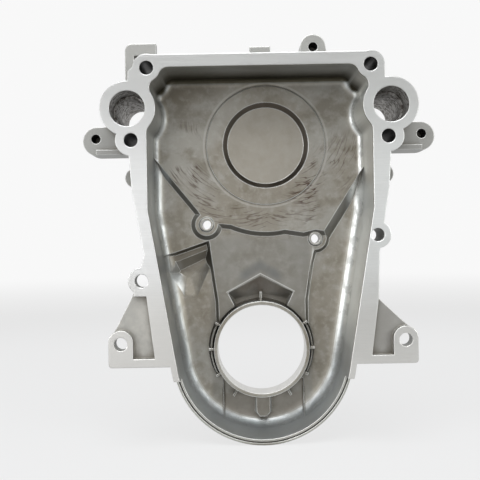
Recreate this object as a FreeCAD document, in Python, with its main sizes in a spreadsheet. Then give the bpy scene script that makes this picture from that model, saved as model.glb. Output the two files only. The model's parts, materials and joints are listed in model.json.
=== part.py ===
import FreeCAD, Part
import math
import os

import Sketcher

# Front timing cover of a pushrod V engine: one aluminium casting that closes the timing
# chain chamber, carries the front crankshaft seal and passes coolant through two corner ports.
#
# X runs across the engine, Z runs up and Y runs forwards, away from the engine block.
# Heights and widths are counted from the crankshaft axis, depths from the face that lies on
# the block. The origin is on the crankshaft axis, at the inner end of the seal bore, so each
# depth becomes a place on Y once the depth of that end has been taken off.

Vector = FreeCAD.Vector
doc = FreeCAD.newDocument("TimingCover")
sheet = doc.addObject("Spreadsheet::Sheet", "Sizes")


class Size:
    """A number in millimetres or degrees, with the sheet formula that it comes from."""

    def __init__(self, number, formula):
        self.number = number
        self.formula = formula

    def __add__(self, other):
        return joined(self, "+", other)

    def __sub__(self, other):
        return joined(self, "-", other)

    def __mul__(self, other):
        return joined(self, "*", other)

    def __neg__(self):
        return Size(-self.number, f"-({self.formula})")


def as_size(value):
    return value if isinstance(value, Size) else Size(value, repr(value))


def in_degrees(angle):
    return Size(angle.number, f"({angle.formula}) * 1 deg")


def along(angle):
    return Size(math.cos(math.radians(angle.number)), f"cos({in_degrees(angle).formula})")


def upwards(angle):
    return Size(math.sin(math.radians(angle.number)), f"sin({in_degrees(angle).formula})")


def joined(left, sign, right):
    left = as_size(left)
    right = as_size(right)
    numbers = {
        "+": left.number + right.number,
        "-": left.number - right.number,
        "*": left.number * right.number,
    }
    return Size(numbers[sign], f"({left.formula} {sign} {right.formula})")


def size(alias, number, meaning):
    """Writes one driving size into the next row of the sheet."""
    size.row += 1
    sheet.set(f"A{size.row}", meaning)
    sheet.set(f"B{size.row}", repr(number))
    sheet.setAlias(f"B{size.row}", alias)
    return Size(number, f"Sizes.{alias}")


size.row = 0

# Depths behind the block face
seal_inner = size("SealInner", 42.0, "inner end of the seal bore")
upper_floor = size("UpperFloor", 49.0, "floor of the upper chamber, round the camshaft end")
middle_floor = size("MiddleFloor", 52.5, "floor of the column above the seal")
side_floor = size("SideFloor", 56.0, "floor of the two side channels")
sump_floor = size("SumpFloor", 58.5, "floor of the pocket below the seal")
pocket_floor = size("PocketFloor", 60.0, "deepest point of the faceted pocket on the left")
wall = size("Wall", 4.2, "thickness of the cast wall")
flange = size("Flange", 12.0, "thickness of the flange on the block")
pump_face = size("PumpFace", 68.0, "machined face that the water pump bolts to")
seal_outer = size("SealOuter", 64.0, "outer end of the seal bore")
pan_rim = size("PanRim", 15.0, "rim of the round end that meets the oil pan seal")
overrun = size("Overrun", 1.0, "how far a cutting block runs past the face it opens")

# Chamber outline
chamber_radius = size("ChamberRadius", 60.8, "inner radius round the crankshaft")
chamber_half = size("ChamberHalf", 79.0, "half of the inner width at the top")
chamber_top = size("ChamberTop", 203.8, "inner height above the crankshaft axis")
side_bend = size("SideBend", 12.0, "radius where a side turns upright")
side_bend_z = size("SideBendZ", 104.7, "height where a side turns upright")
wall_blend = size("WallBlend", 7.0, "radius between walls and bosses")
floor_blend = size("FloorBlend", 6.2, "radius between walls and upper floor")
middle_blend = size("MiddleBlend", 9.0, "radius between walls and middle floor")
side_blend = size("SideBlend", 11.0, "radius between walls and side channels")
step_slope = size("StepSlope", 45.0, "slope of the step below the upper floor, from the depth axis")
column_slope = size("ColumnSlope", 35.0, "slope of the column's sides, from the depth axis")

# Fastening
bolt_radius = size("BoltRadius", 4.9, "clearance holes for the cover bolts")
ear_hole_radius = size("EarHoleRadius", 4.65, "clearance holes in the ears")
top_bolt_in = size("TopBoltIn", 0.75, "top bolts, inboard of the chamber's side")
top_bolt_drop = size("TopBoltDrop", 0.45, "top bolts, below the chamber's top")
top_bolt_x = chamber_half - top_bolt_in
top_bolt_z = chamber_top - top_bolt_drop
top_boss = size("TopBoss", 9.8, "outer radius of the top bolt bosses")
top_boss_inner = size("TopBossInner", 9.6, "radius of the top bosses inside the chamber")
port_out = size("PortOut", 13.2, "coolant ports, outboard of the chamber's side")
port_drop = size("PortDrop", 28.5, "coolant ports, below the chamber's top")
port_x = chamber_half + port_out
port_z = chamber_top - port_drop
port_radius = size("PortRadius", 12.5, "machined mouth of a coolant port")
port_mouth = size("PortMouth", 22.0, "depth of the machined mouth")
port_ledge = size("PortLedge", 1.5, "ledge between mouth and cast passage")
passage_inboard = size("PassageInboard", 3.2, "how far a passage leans to the middle")
passage_drop = size("PassageDrop", 2.8, "how far a passage leans down")
passage_radius = port_radius - port_ledge
port_wall = size("PortWall", 6.8, "wall round the mouth of a port")
port_boss = port_radius + port_wall
port_skin = size("PortSkin", 0.4, "extra metal on the chamber's side of a port")
port_boss_inner = port_boss + port_skin
low_bolt_out = size("LowBoltOut", 10.9, "bolts below the ports, outboard of the chamber's side")
low_bolt_drop = size("LowBoltDrop", 22.2, "bolts below the ports, from the ports")
low_bolt_x = chamber_half + low_bolt_out
low_bolt_z = port_z - low_bolt_drop
low_boss = size("LowBoss", 11.0, "outer radius of the bosses below the ports")

# Rail and ears
outside_reach = size("OutsideReach", 10.0, "how far blocks for the floor steps run past the rail")
rail_top = size("RailTop", 8.8, "width of the rail along the top")
rail_shoulder = size("RailShoulder", 12.4, "width of the rail below the ports")
rail_shoulder_z = size("RailShoulderZ", 141.0, "lower end of that width")
rail_bend = size("RailBend", 10.8, "width of the rail where it turns in")
rail_bend_z = size("RailBendZ", 117.0, "height of that turn")
rail_waist = size("RailWaist", 3.2, "rail above the ears, outboard of the chamber's upper side")
rail_waist_z = size("RailWaistZ", 72.5, "height of that width")
rail_corner = size("RailCorner", 3.2, "width of the left top corner beyond its boss")
rail_port = size("RailPort", 4.5, "width of the rail beside the left port, beyond the top boss")
rail_corner_x = top_bolt_x + top_boss + rail_corner
rail_port_x = top_bolt_x + top_boss + rail_port
rail_shoulder_x = chamber_half + rail_shoulder
rail_bend_x = chamber_half + rail_bend
rail_waist_x = chamber_half + rail_waist
rail_foot = size("RailFoot", 4.0, "width of the rail below the ears")
rail_end = size("RailEnd", 0.8, "width of the rail at its lower end")
rail_foot_x = chamber_radius + rail_foot
rail_end_x = chamber_radius + rail_end
rail_end_z = size("RailEndZ", -16.0, "height of the rail's end")
ear_hole_x = size("EarHoleX", 99.5, "ear holes, from the middle")
ear_hole_z = size("EarHoleZ", 10.8, "ear holes, above the crankshaft")
ear_pad = size("EarPad", 8.6, "half width of the pad round an ear hole")
pad_corner = size("PadCorner", 2.5, "radius of the pad's outer lower corner")
ear_foot = size("EarFoot", 16.4, "lower edge of the ears, below their holes")
ear_foot_z = ear_hole_z - ear_foot
ear_bar = size("EarBar", 6.0, "width of the bar along the lower edge")
ear_recess = size("EarRecess", 5.0, "depth of the recessed panel of an ear")
ear_height = size("EarHeight", 32.2, "upper corner of the recessed panels, above the holes")
ear_top_z = ear_hole_z + ear_height
ear_left_rise = size("EarLeftRise", 2.4, "left ear's sloping edge, above that corner")
ear_right_drop = size("EarRightDrop", 3.1, "right ear's sloping edge, below that corner")
panel_top_in = size("PanelTopIn", 18.5, "panel's upper end, inboard of the hole")
panel_foot_in = size("PanelFootIn", 23.7, "panel's lower end, inboard of the hole")
left_slope_in = size("LeftSlopeIn", 8.9, "top of the left ear's sloping edge, inboard of the hole")
right_slope_in = size("RightSlopeIn", 18.3, "top of the right ear's sloping edge, inboard of the hole")
ear_rail_top = ear_hole_x - panel_top_in
ear_rail_foot = ear_hole_x - panel_foot_in
left_ear_slope = ear_hole_x - left_slope_in
right_ear_slope = ear_hole_x - right_slope_in
side_boss = size("SideBoss", 9.4, "outer radius of the two side bolt bosses")
left_bolt_out = size("LeftBoltOut", 5.2, "left side bolt, outboard of the chamber's upper side")
right_bolt_out = size("RightBoltOut", 2.2, "right side bolt, outboard of the chamber's upper side")
left_bolt_x = -(chamber_half + left_bolt_out)
left_bolt_z = size("LeftBoltZ", 54.7, "left side bolt, above the crankshaft")
right_bolt_x = chamber_half + right_bolt_out
right_bolt_z = size("RightBoltZ", 84.2, "right side bolt, above the crankshaft")
right_bolt_length = size("RightBoltLength", 36.0, "depth of the right side boss")

# Floor of the chamber
cam_x = size("CamX", 5.6, "middle of the round pad in front of the camshaft")
cam_z = size("CamZ", 153.6, "height of the round pad")
cam_pad = size("CamPad", 45.0, "radius of the round pad")
cam_pad_rise = size("CamPadRise", 0.8, "how far the pad stands proud")
cam_disc = size("CamDisc", 32.5, "outer radius of the sunk disc")
cam_disc_flank = size("CamDiscFlank", 3.7, "width of the disc's sloping edge")
cam_disc_floor = cam_disc - cam_disc_flank
cam_disc_depth = size("CamDiscDepth", 3.2, "depth of the sunk disc")
cam_step = size("CamStep", 65.5, "radius of the floor step below the pad")
left_pin_x = size("LeftPinX", -40.1, "left pump bolt")
left_pin_z = size("LeftPinZ", 94.3, "left pump bolt, above the crankshaft")
right_pin_x = size("RightPinX", 42.4, "right pump bolt")
right_pin_z = size("RightPinZ", 82.3, "right pump bolt, above the crankshaft")
pin_radius = size("PinRadius", 3.4, "tapped holes for the pump bolts, at their core")
pin_rim_wall = size("PinRimWall", 1.4, "wall of the raised rim round each pump bolt")
pin_rim_flank = size("PinRimFlank", 1.5, "width of the rim's sloping side")
pin_rim_rise = size("PinRimRise", 2.0, "height of that rim")
pin_collar = size("PinCollar", 2.1, "floor left round each rim")
pin_rim = pin_radius + pin_rim_wall + pin_rim_flank
pin_boss = pin_rim + pin_collar
plateau_left_x = size("PlateauLeftX", -46.8, "upper floor's corner left of the pump bolt")
plateau_left_foot = size("PlateauLeftFoot", 105.3, "height of that corner")
plateau_left_z = size("PlateauLeftZ", 173.2, "upper floor's edge, carried on past the left rail")
plateau_right_z = size("PlateauRightZ", 170.5, "upper floor's edge, carried on past the right rail")
plateau_right_foot = size("PlateauRightFoot", 87.2, "height of the notch beside the right pump bolt")
plateau_notch_x = size("PlateauNotchX", 33.3, "notch beside the right pump bolt")
front_left_rise = size("FrontLeftRise", 19.3, "outside step above the floor's edge, at the left rail")
front_right_rise = size("FrontRightRise", 22.5, "outside step above the floor's edge, at the right rail")
front_left_in = size("FrontLeftIn", 19.1, "outside step's left corner, inboard of the floor's corner")
front_rise = size("FrontRise", 6.5, "outside step's level edge, above the left pump bolt")
column_left_x = size("ColumnLeftX", -38.6, "column's left edge at its top")
column_left_waist = size("ColumnLeftWaist", -32.2, "column's left edge at its waist")
column_right_x = size("ColumnRightX", 38.4, "column's right edge at its top")
column_right_waist = size("ColumnRightWaist", 33.8, "column's right edge at its waist")
column_waist_z = size("ColumnWaistZ", 36.0, "height of the waist")
pocket_outer_z = size("PocketOuterZ", 61.3, "shoulder's lower edge, carried on past the left rail")
pocket_inner_z = size("PocketInnerZ", 82.3, "shoulder's lower edge at the column")
pocket_width = size("PocketWidth", 30.0, "width of the faceted pocket")
pocket_height = size("PocketHeight", 60.0, "height of the faceted pocket")
sump_left = size("SumpLeft", -29.4, "left side of the pocket below the seal")
sump_right = size("SumpRight", 31.6, "right side of that pocket")
sump_top_z = size("SumpTopZ", -24.0, "upper edge of that pocket")
chevron_half = size("ChevronHalf", 25.4, "half width of the hollow above the seal")
chevron_side_z = size("ChevronSideZ", 42.6, "height of its side corners")
chevron_top_z = size("ChevronTopZ", 56.3, "height of its point")
trough_floor = size("TroughFloor", 58.2, "depth of that hollow beside the seal")

# Seal ring
seal_radius = size("SealRadius", 33.2, "bore for the crankshaft seal")
seal_lip = size("SealLip", 2.8, "thickness of the ring round that bore")
seal_wall = size("SealWall", 9.3, "thickness of the boss that carries the ring in front")
groove_width = size("GrooveWidth", 1.4, "width of the grooves beside the ring")
rib_width = size("RibWidth", 1.2, "thickness of the thin rib between them")
seal_ring = seal_radius + seal_lip
seal_collar = seal_radius + seal_wall
groove_inner = seal_ring + groove_width
groove_rib = groove_inner + rib_width
groove_outer = groove_rib + groove_width
groove_floor = size("GrooveFloor", 60.0, "depth of the grooves")
rib_top = size("RibTop", 47.5, "depth of the thin rib's edge")
bridge_top = size("BridgeTop", 46.0, "depth of the bridges across the grooves")
bridge_width = size("BridgeWidth", 1.7, "thickness of the bridges")
bridge_spread = size("BridgeSpread", 30.0, "angle from one side bridge to the next")
low_spoke = size("LowSpoke", 239.0, "direction of the lower left spoke")
spoke_height = size("SpokeHeight", 6.5, "height of the spokes above and below the ring")
full_turn = as_size(360.0)
tongue_x = size("TongueX", 0.6, "middle of the tongue below the ring")
tongue_half = size("TongueHalf", 5.2, "half width of the tongue")
tongue_length = size("TongueLength", 16.5, "length of the tongue, from the ring")
tongue_reach = seal_ring + tongue_length
tongue_face = size("TongueFace", 53.0, "depth of the tongue's face")
tongue_draft = size("TongueDraft", 12.0, "slope of its sides, from the depth axis")
rim_groove = size("RimGroove", 2.0, "depth of the groove in the round rim")
rim_groove_out = size("RimGrooveOut", 1.5, "groove, outboard of the chamber's round end")
rim_groove_width = size("RimGrooveWidth", 1.1, "width of that groove")

# Set-back lugs and tabs
lug_out = size("LugOut", 26.8, "holes of the side lugs, outboard of the ports")
lug_below = size("LugBelow", 17.5, "holes of the side lugs, below the ports")
lug_x = port_x + lug_out
lug_z = port_z - lug_below
lug_radius = size("LugRadius", 10.5, "radius of the lugs' round ends")
lug_drop = size("LugDrop", 1.8, "how far the round end lies below the hole")
lug_hole = size("LugHole", 3.4, "radius of the lug holes")
lug_hole_depth = size("LugHoleDepth", 16.0, "depth of the lug holes, which are blind")
lug_face = size("LugFace", 28.0, "depth of the lugs' faces")
lug_thickness = size("LugThickness", 20.0, "thickness of the lugs")
lug_rib = size("LugRib", 3.6, "width of the rib along a side lug")
lug_rib_rise = size("LugRibRise", 7.0, "how far that rib stands proud of the lug's face")
crest_x = size("CrestX", 41.0, "lug on the top edge")
crest_rise = size("CrestRise", 19.2, "hole of that lug, above the chamber's top")
crest_z = chamber_top + crest_rise
crest_radius = size("CrestRadius", 9.2, "radius of its round end")
crest_flare = size("CrestFlare", 3.0, "how far its sides flare out at the foot")
crest_setback = size("CrestSetback", 2.0, "how far its face lies behind the side lugs' faces")
tab_out = size("TabOut", 11.25, "inner side of the bent tab, outboard of the top bolt")
tab_leg = size("TabLeg", 6.5, "width of its upright leg")
tab_bar = size("TabBar", 8.5, "width of its level arm")
tab_arm = size("TabArm", 16.1, "length of the level arm")
tab_below = size("TabBelow", 14.4, "lower end of the leg, below the top bolt")
tab_rise = size("TabRise", 21.7, "upper side of the level arm, above the chamber's top")
tab_x = top_bolt_x + tab_out
tab_end_x = tab_x - tab_arm
tab_foot_z = top_bolt_z - tab_below
tab_top_z = chamber_top + tab_rise
tab_face = size("TabFace", 22.0, "depth of the tab's face")
tab_depth = size("TabDepth", 8.0, "thickness of the tab")
crest_tab_x = size("CrestTabX", 2.2, "middle of the thin tab on the top edge")
crest_tab_half = size("CrestTabHalf", 7.8, "half width of that tab")
crest_tab_rise = size("CrestTabRise", 22.2, "its upper edge, above the chamber's top")
crest_tab_z = chamber_top + crest_tab_rise
crest_tab_face = size("CrestTabFace", 39.0, "depth of its face")
crest_tab_depth = size("CrestTabDepth", 4.0, "thickness of that tab")
low_tap_out = size("LowTapOut", 12.5, "bosses on the side walls, outboard of the chamber's side")
low_tap_drop = size("LowTapDrop", 46.3, "bosses on the side walls, below the ports")
low_tap_x = chamber_half + low_tap_out
low_tap_z = port_z - low_tap_drop
low_tap = size("LowTap", 7.0, "radius of those bosses")
tap_face = size("TapFace", 30.0, "depth of their faces")


# Drawing helpers

def bind(thing, prop, value):
    """Ties a property to its formula in the sheet."""
    thing.setExpression(prop, as_size(value).formula)


def place_on_y(thing, depth):
    bind(thing, "Placement.Base.y", as_size(depth) - seal_inner)


def sketch(name, depth):
    """An empty sketch that faces the block at a depth: its x is X and its y is Z."""
    drawing = doc.addObject("Sketcher::SketchObject", name)
    upright = FreeCAD.Rotation(Vector(1, 0, 0), 90)
    drawing.Placement = FreeCAD.Placement(Vector(0, depth.number - seal_inner.number, 0), upright)
    place_on_y(drawing, depth)
    return drawing


def dimension(drawing, kind, elements, value):
    """Adds a dimension to a sketch and ties it to the sheet."""
    value = as_size(value)
    index = drawing.addConstraint(Sketcher.Constraint(kind, *elements, value.number))
    drawing.setExpression(f"Constraints[{index}]", value.formula)


def pin_point(drawing, element, end, x, z):
    """Holds a point of a sketch at a place counted from the origin."""
    dimension(drawing, "DistanceX", (-1, 1, element, end), x)
    dimension(drawing, "DistanceY", (-1, 1, element, end), z)


def polygon(name, depth, corners):
    """A closed outline of straight lines through its corners."""
    drawing = sketch(name, depth)
    places = [Vector(as_size(x).number, as_size(z).number, 0) for x, z in corners]
    count = len(corners)
    for index in range(count):
        drawing.addGeometry(Part.LineSegment(places[index], places[(index + 1) % count]))
    for index in range(count):
        joint = (index, 2, (index + 1) % count, 1)
        drawing.addConstraint(Sketcher.Constraint("Coincident", *joint))
        pin_point(drawing, index, 1, *corners[index])
    return drawing


def prism(name, outline, start, end, slope=None):
    """An outline pushed from one depth to another. A slope widens it on the way."""
    block = doc.addObject("Part::Extrusion", name)
    block.Base = outline
    block.DirMode = "Custom"
    block.Dir = Vector(0, 1, 0)
    block.Solid = True
    bind(block, "LengthFwd", end - start)
    if slope is not None:
        bind(block, "TaperAngle", slope)
    return block


def slab(name, start, end, corners, slope=None):
    return prism(name, polygon(name + "Outline", start, corners), start, end, slope)


def along_y(block, x, z, start):
    turn = FreeCAD.Rotation(Vector(1, 0, 0), -90)
    block.Placement = FreeCAD.Placement(Vector(0, 0, 0), turn)
    bind(block, "Placement.Base.x", x)
    bind(block, "Placement.Base.z", z)
    place_on_y(block, start)
    return block


def rod(name, x, z, radius, start, end):
    """A cylinder along the engine's axis, between two depths."""
    block = doc.addObject("Part::Cylinder", name)
    bind(block, "Radius", radius)
    bind(block, "Height", end - start)
    return along_y(block, x, z, start)


def cone(name, x, z, start_radius, end_radius, start, end):
    block = doc.addObject("Part::Cone", name)
    bind(block, "Radius1", start_radius)
    bind(block, "Radius2", end_radius)
    bind(block, "Height", end - start)
    return along_y(block, x, z, start)


def box(name, x_range, depth_range, z_range):
    block = doc.addObject("Part::Box", name)
    low_x, high_x = (as_size(value) for value in x_range)
    low_z, high_z = (as_size(value) for value in z_range)
    near, far = depth_range
    bind(block, "Length", high_x - low_x)
    bind(block, "Width", far - near)
    bind(block, "Height", high_z - low_z)
    bind(block, "Placement.Base.x", low_x)
    bind(block, "Placement.Base.z", low_z)
    place_on_y(block, near)
    return block


def fused(name, blocks):
    union = doc.addObject("Part::MultiFuse", name)
    union.Shapes = blocks
    union.Refine = True
    return union


def cut(name, base, tool):
    result = doc.addObject("Part::Cut", name)
    result.Base = base
    result.Tool = tool
    result.Refine = True
    return result


def shared(name, first, second):
    result = doc.addObject("Part::Common", name)
    result.Base = first
    result.Tool = second
    return result


def rounded(name, base, chosen, radius):
    """Rounds the edges of a block that a test on their bounds chooses."""
    doc.recompute()
    result = doc.addObject("Part::Fillet", name)
    result.Base = base
    edges = enumerate(base.Shape.Edges, 1)
    result.Edges = [(index, radius.number, radius.number) for index, edge in edges if chosen(edge.BoundBox)]
    return result


def at_depth(depth):
    """Chooses the edges that lie wholly at one depth."""
    place = depth.number - seal_inner.number
    return lambda bounds: abs(bounds.YMin - place) < 0.01 and abs(bounds.YMax - place) < 0.01


def upright(bounds):
    """Chooses the edges that run straight from depth to depth."""
    return bounds.YLength > 1 and bounds.XLength < 0.01 and bounds.ZLength < 0.01


# Outline of the chamber, with the bosses that stand into it

def toward(centre, target):
    return math.atan2(target[1] - centre[1], target[0] - centre[0])


def between_circles(first, first_reach, second, second_reach):
    """The point at given reaches from two centres, on the chamber's side of them."""
    gap = math.dist(first, second)
    along = (first_reach**2 - second_reach**2 + gap**2) / (2 * gap)
    across = math.sqrt(first_reach**2 - along**2)
    heading = toward(first, second)
    x = first[0] + along * math.cos(heading) - across * math.sin(heading)
    z = first[1] + along * math.sin(heading) + across * math.cos(heading)
    return (x, z)


def slant_angle():
    """The angle of a side to the vertical, where it touches both the round end and the bend."""
    bend = (chamber_half.number - side_bend.number, side_bend_z.number)
    narrowing = math.acos((chamber_radius - side_bend).number / math.hypot(*bend))
    return narrowing - math.atan2(bend[1], bend[0])


def right_side():
    """Lines and arcs of the right wall, from the round end up to the top wall."""
    slant = slant_angle()
    blend = wall_blend.number
    half = chamber_half.number
    port = (port_x.number, port_z.number)
    bolt = (top_bolt_x.number, top_bolt_z.number)
    port_reach = port_boss_inner.number + blend
    bolt_reach = top_boss_inner.number + blend
    tangent = (chamber_radius.number * math.cos(slant), -chamber_radius.number * math.sin(slant))
    bend = (half - side_bend.number, side_bend_z.number)
    bend_start = (bend[0] + side_bend.number * math.cos(slant), bend[1] - side_bend.number * math.sin(slant))
    low_x = half - blend
    low = (low_x, port[1] - math.sqrt(port_reach**2 - (port[0] - low_x) ** 2))
    middle = between_circles(port, port_reach, bolt, bolt_reach)
    high_z = chamber_top.number - blend
    high = (bolt[0] - math.sqrt(bolt_reach**2 - (bolt[1] - high_z) ** 2), high_z)
    return [
        ("line", tangent, bend_start),
        ("arc", bend, side_bend, -slant, 0.0),
        ("line", (half, bend[1]), (half, low[1])),
        ("arc", low, wall_blend, 0.0, toward(low, port)),
        ("arc", port, port_boss_inner, toward(port, middle), toward(port, low)),
        ("arc", middle, wall_blend, toward(middle, port), toward(middle, bolt)),
        ("arc", bolt, top_boss_inner, toward(bolt, high), toward(bolt, middle)),
        ("arc", high, wall_blend, toward(high, bolt), math.pi / 2),
    ]


def add_arc(drawing, centre, radius, start, end):
    while end < start:
        end += 2 * math.pi
    circle = Part.Circle(Vector(centre[0], centre[1], 0), Vector(0, 0, 1), radius.number)
    return drawing.addGeometry(Part.ArcOfCircle(circle, start, end))


def add_side(drawing, side):
    """Draws one side wall and gives, in order, each element with its lower and upper end."""
    chain = []
    for kind, first, second, *angles in right_side():
        if kind == "line":
            ends = [Vector(side * place[0], place[1], 0) for place in (first, second)]
            chain.append((drawing.addGeometry(Part.LineSegment(*ends)), 1, 2))
            continue
        start, end = angles if side > 0 else (math.pi - angles[1], math.pi - angles[0])
        element = add_arc(drawing, (side * first[0], first[1]), second, start, end)
        inward = second is port_boss_inner or second is top_boss_inner
        rising = (side > 0) != inward
        chain.append((element, 1, 2) if rising else (element, 2, 1))
    bend, straight, low, port, middle, bolt, high = (element for element, *ends in chain[1:])
    dimension(drawing, "Radius", (bend,), side_bend)
    dimension(drawing, "DistanceY", (-1, 1, bend, 3), side_bend_z)
    drawing.addConstraint(Sketcher.Constraint("Vertical", straight))
    dimension(drawing, "DistanceX", (-1, 1, straight, 1), chamber_half * side)
    for blend in (low, middle, high):
        dimension(drawing, "Radius", (blend,), wall_blend)
    dimension(drawing, "Radius", (port,), port_boss_inner)
    pin_point(drawing, port, 3, port_x * side, port_z)
    dimension(drawing, "Radius", (bolt,), top_boss_inner)
    pin_point(drawing, bolt, 3, top_bolt_x * side, top_bolt_z)
    return chain


def closed_loop(drawing, right, left, top_z):
    """Joins two side walls with the round end below and a level line on top."""
    slant = slant_angle()
    round_end = add_arc(drawing, (0, 0), chamber_radius, math.pi + slant, 2 * math.pi - slant)
    half_line = chamber_half.number / 2
    ends = [Vector(side * half_line, top_z.number, 0) for side in (1, -1)]
    top = drawing.addGeometry(Part.LineSegment(*ends))
    loop = [(round_end, 1, 2), *right, (top, 1, 2)]
    loop += [(element, upper, lower) for element, lower, upper in reversed(left)]
    drawing.addConstraint(Sketcher.Constraint("Coincident", round_end, 3, -1, 1))
    dimension(drawing, "Radius", (round_end,), chamber_radius)
    for (element, first, last), (following, start, end) in zip(loop, loop[1:] + loop[:1]):
        drawing.addConstraint(Sketcher.Constraint("Tangent", element, last, following, start))
    drawing.addConstraint(Sketcher.Constraint("Horizontal", top))
    dimension(drawing, "DistanceY", (-1, 1, top, 1), top_z)
    return drawing


def chamber_outline(name, depth):
    """The inner outline of the cover: round below, tapering sides, bosses in the top corners."""
    drawing = sketch(name, depth)
    return closed_loop(drawing, add_side(drawing, 1), add_side(drawing, -1), chamber_top)


def plain_side(drawing, side, corner_radius, top_z):
    """A side wall without bosses, with one round corner at its upper end."""
    slanted, bend, straight = right_side()[:3]
    chain = []
    for kind, first, second in (slanted, straight):
        ends = [Vector(side * place[0], place[1], 0) for place in (first, second)]
        chain.append((drawing.addGeometry(Part.LineSegment(*ends)), 1, 2))
    start, end = bend[3:] if side > 0 else (math.pi - bend[4], math.pi - bend[3])
    curve = add_arc(drawing, (side * bend[1][0], bend[1][1]), side_bend, start, end)
    chain.insert(1, (curve, 1, 2) if side > 0 else (curve, 2, 1))
    place = (side * (chamber_half - corner_radius).number, (top_z - corner_radius).number)
    start, end = (0.0, math.pi / 2) if side > 0 else (math.pi / 2, math.pi)
    corner = add_arc(drawing, place, corner_radius, start, end)
    chain.append((corner, 1, 2) if side > 0 else (corner, 2, 1))
    upright_line = chain[2][0]
    dimension(drawing, "Radius", (curve,), side_bend)
    dimension(drawing, "DistanceY", (-1, 1, curve, 3), side_bend_z)
    drawing.addConstraint(Sketcher.Constraint("Vertical", upright_line))
    dimension(drawing, "DistanceX", (-1, 1, upright_line, 1), chamber_half * side)
    dimension(drawing, "Radius", (corner,), corner_radius)
    return chain


def plain_outline(name, depth, corner_radius, top_z):
    """The chamber's outline without the bosses in its corners, up to a given height."""
    drawing = sketch(name, depth)
    right, left = (plain_side(drawing, side, corner_radius, top_z) for side in (1, -1))
    return closed_loop(drawing, right, left, top_z)


# Casting before its hollows: shell, rail, ears, bosses and lugs

block_face = as_size(0.0)
side_bosses = {"Left": -1, "Right": 1}
chamber = chamber_outline("ChamberOutline", block_face)
channel_corner = side_blend * 1.45
channel_top = port_z - port_boss * 0.3
channel = plain_outline("ChannelOutline", block_face, channel_corner, channel_top)
casing = plain_outline("CasingOutline", block_face, top_boss, chamber_top)


def shell(name, floor):
    """The cast wall round the chamber, one wall thicker than a floor and rounded at the front."""
    block = prism(name + "Block", doc.getObject("ShellOutline"), block_face, floor + wall)
    return rounded(name, block, at_depth(floor + wall), floor_blend + wall * 0.5)


def front_step():
    """The room in front of the upper floor, where the outside steps back with it."""
    start = upper_floor - floor_blend
    far = rail_shoulder_x + outside_reach
    foot = left_pin_z + front_rise
    top = chamber_top + wall + rail_top
    corners = [
        (-far, plateau_left_z + front_left_rise),
        (plateau_left_x + front_left_in, foot),
        (right_pin_x, foot),
        (far, plateau_right_z + front_right_rise),
        (far, top),
        (-far, top),
    ]
    return slab("FrontStep", start, pump_face + overrun, corners, step_slope)


def outer_shell():
    """The outside of the casting, which follows the floors of the chamber."""
    outline = doc.addObject("Part::Offset2D", "ShellOutline")
    outline.Source = casing
    bind(outline, "Value", wall)
    low_end = -(chamber_radius + wall + overrun)
    across = (sump_left - wall, sump_right + wall)
    below_seal = box("SumpFront", across, (block_face, pump_face), (low_end, sump_top_z + wall))
    return [
        shell("UpperShell", upper_floor),
        cut("LowerShell", shell("SideShell", side_floor), front_step()),
        shared("SumpShell", shell("SumpFrontShell", sump_floor), below_seal),
        pocket_block("PocketFront", side_floor, wall),
        rod("CamBoss", cam_x, cam_z, cam_disc + wall * 0.5, upper_floor, cam_floor + wall),
        rod("SealBoss", 0.0, 0.0, seal_collar, side_floor, seal_outer),
    ]


def rail():
    """The flange that lies on the block, with the arms of the two ears cut down to thin panels."""
    knee = ear_pad * 0.7
    outer = top_bolt_x + top_boss
    corners = [
        (-top_bolt_x, chamber_top + rail_top),
        (-rail_corner_x, top_bolt_z - bolt_radius * 0.4),
        (-rail_port_x, port_z),
        (-rail_shoulder_x, rail_shoulder_z),
        (-rail_bend_x, rail_bend_z),
        (-rail_waist_x, rail_waist_z),
        (-left_ear_slope, ear_top_z + ear_left_rise),
        (-(ear_hole_x + knee), ear_hole_z + knee),
        (-ear_hole_x, ear_foot_z),
        (-rail_foot_x, ear_foot_z),
        (-rail_end_x, rail_end_z),
        (rail_end_x, rail_end_z),
        (rail_foot_x, ear_foot_z),
        (ear_hole_x, ear_foot_z),
        (ear_hole_x + knee, ear_hole_z + knee),
        (right_ear_slope, ear_top_z - ear_right_drop),
        (right_ear_slope, ear_top_z),
        (rail_waist_x, rail_waist_z),
        (rail_bend_x, rail_bend_z),
        (rail_shoulder_x, rail_shoulder_z),
        (outer, port_z),
        (outer, top_bolt_z),
        (top_bolt_x, chamber_top + rail_top),
    ]
    plate = slab("RailPlate", block_face, flange, corners)
    bar_top = ear_foot_z + ear_bar
    far = ear_hole_x + ear_pad * 2.0
    panels = []
    for name, side in side_bosses.items():
        upper = ear_top_z + overrun if side < 0 else ear_top_z - ear_right_drop
        panel = [(ear_rail_top * side, upper), (ear_rail_foot * side, bar_top), (far * side, bar_top),
                 (far * side, rail_waist_z), (rail_bend_x * side, rail_waist_z), (rail_bend_x * side, upper)]
        panels.append(slab(name + "EarPanel", block_face, ear_recess, panel))
    return cut("Rail", plate, fused("EarPanels", panels))


def ear_pads():
    """The full-height pads round the ear holes, rounded at their outer lower corners."""
    pads = []
    middle = ear_hole_z + ear_pad * 0.12
    for name, side in side_bosses.items():
        near = (ear_hole_x - ear_pad) * side
        far = (ear_hole_x + ear_pad) * side
        across = (near, far) if side > 0 else (far, near)
        foot = box(name + "EarFootBlock", across, (block_face, flange), (ear_foot_z, middle))
        reach = ear_hole_x.number

        def outer_corner(bounds):
            return upright(bounds) and side * bounds.XMin > reach and bounds.ZMin < 0

        pads.append(rounded(name + "EarFoot", foot, outer_corner, pad_corner))
        pads.append(rod(name + "EarPad", ear_hole_x * side, middle, ear_pad, block_face, flange))
    return pads


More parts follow.
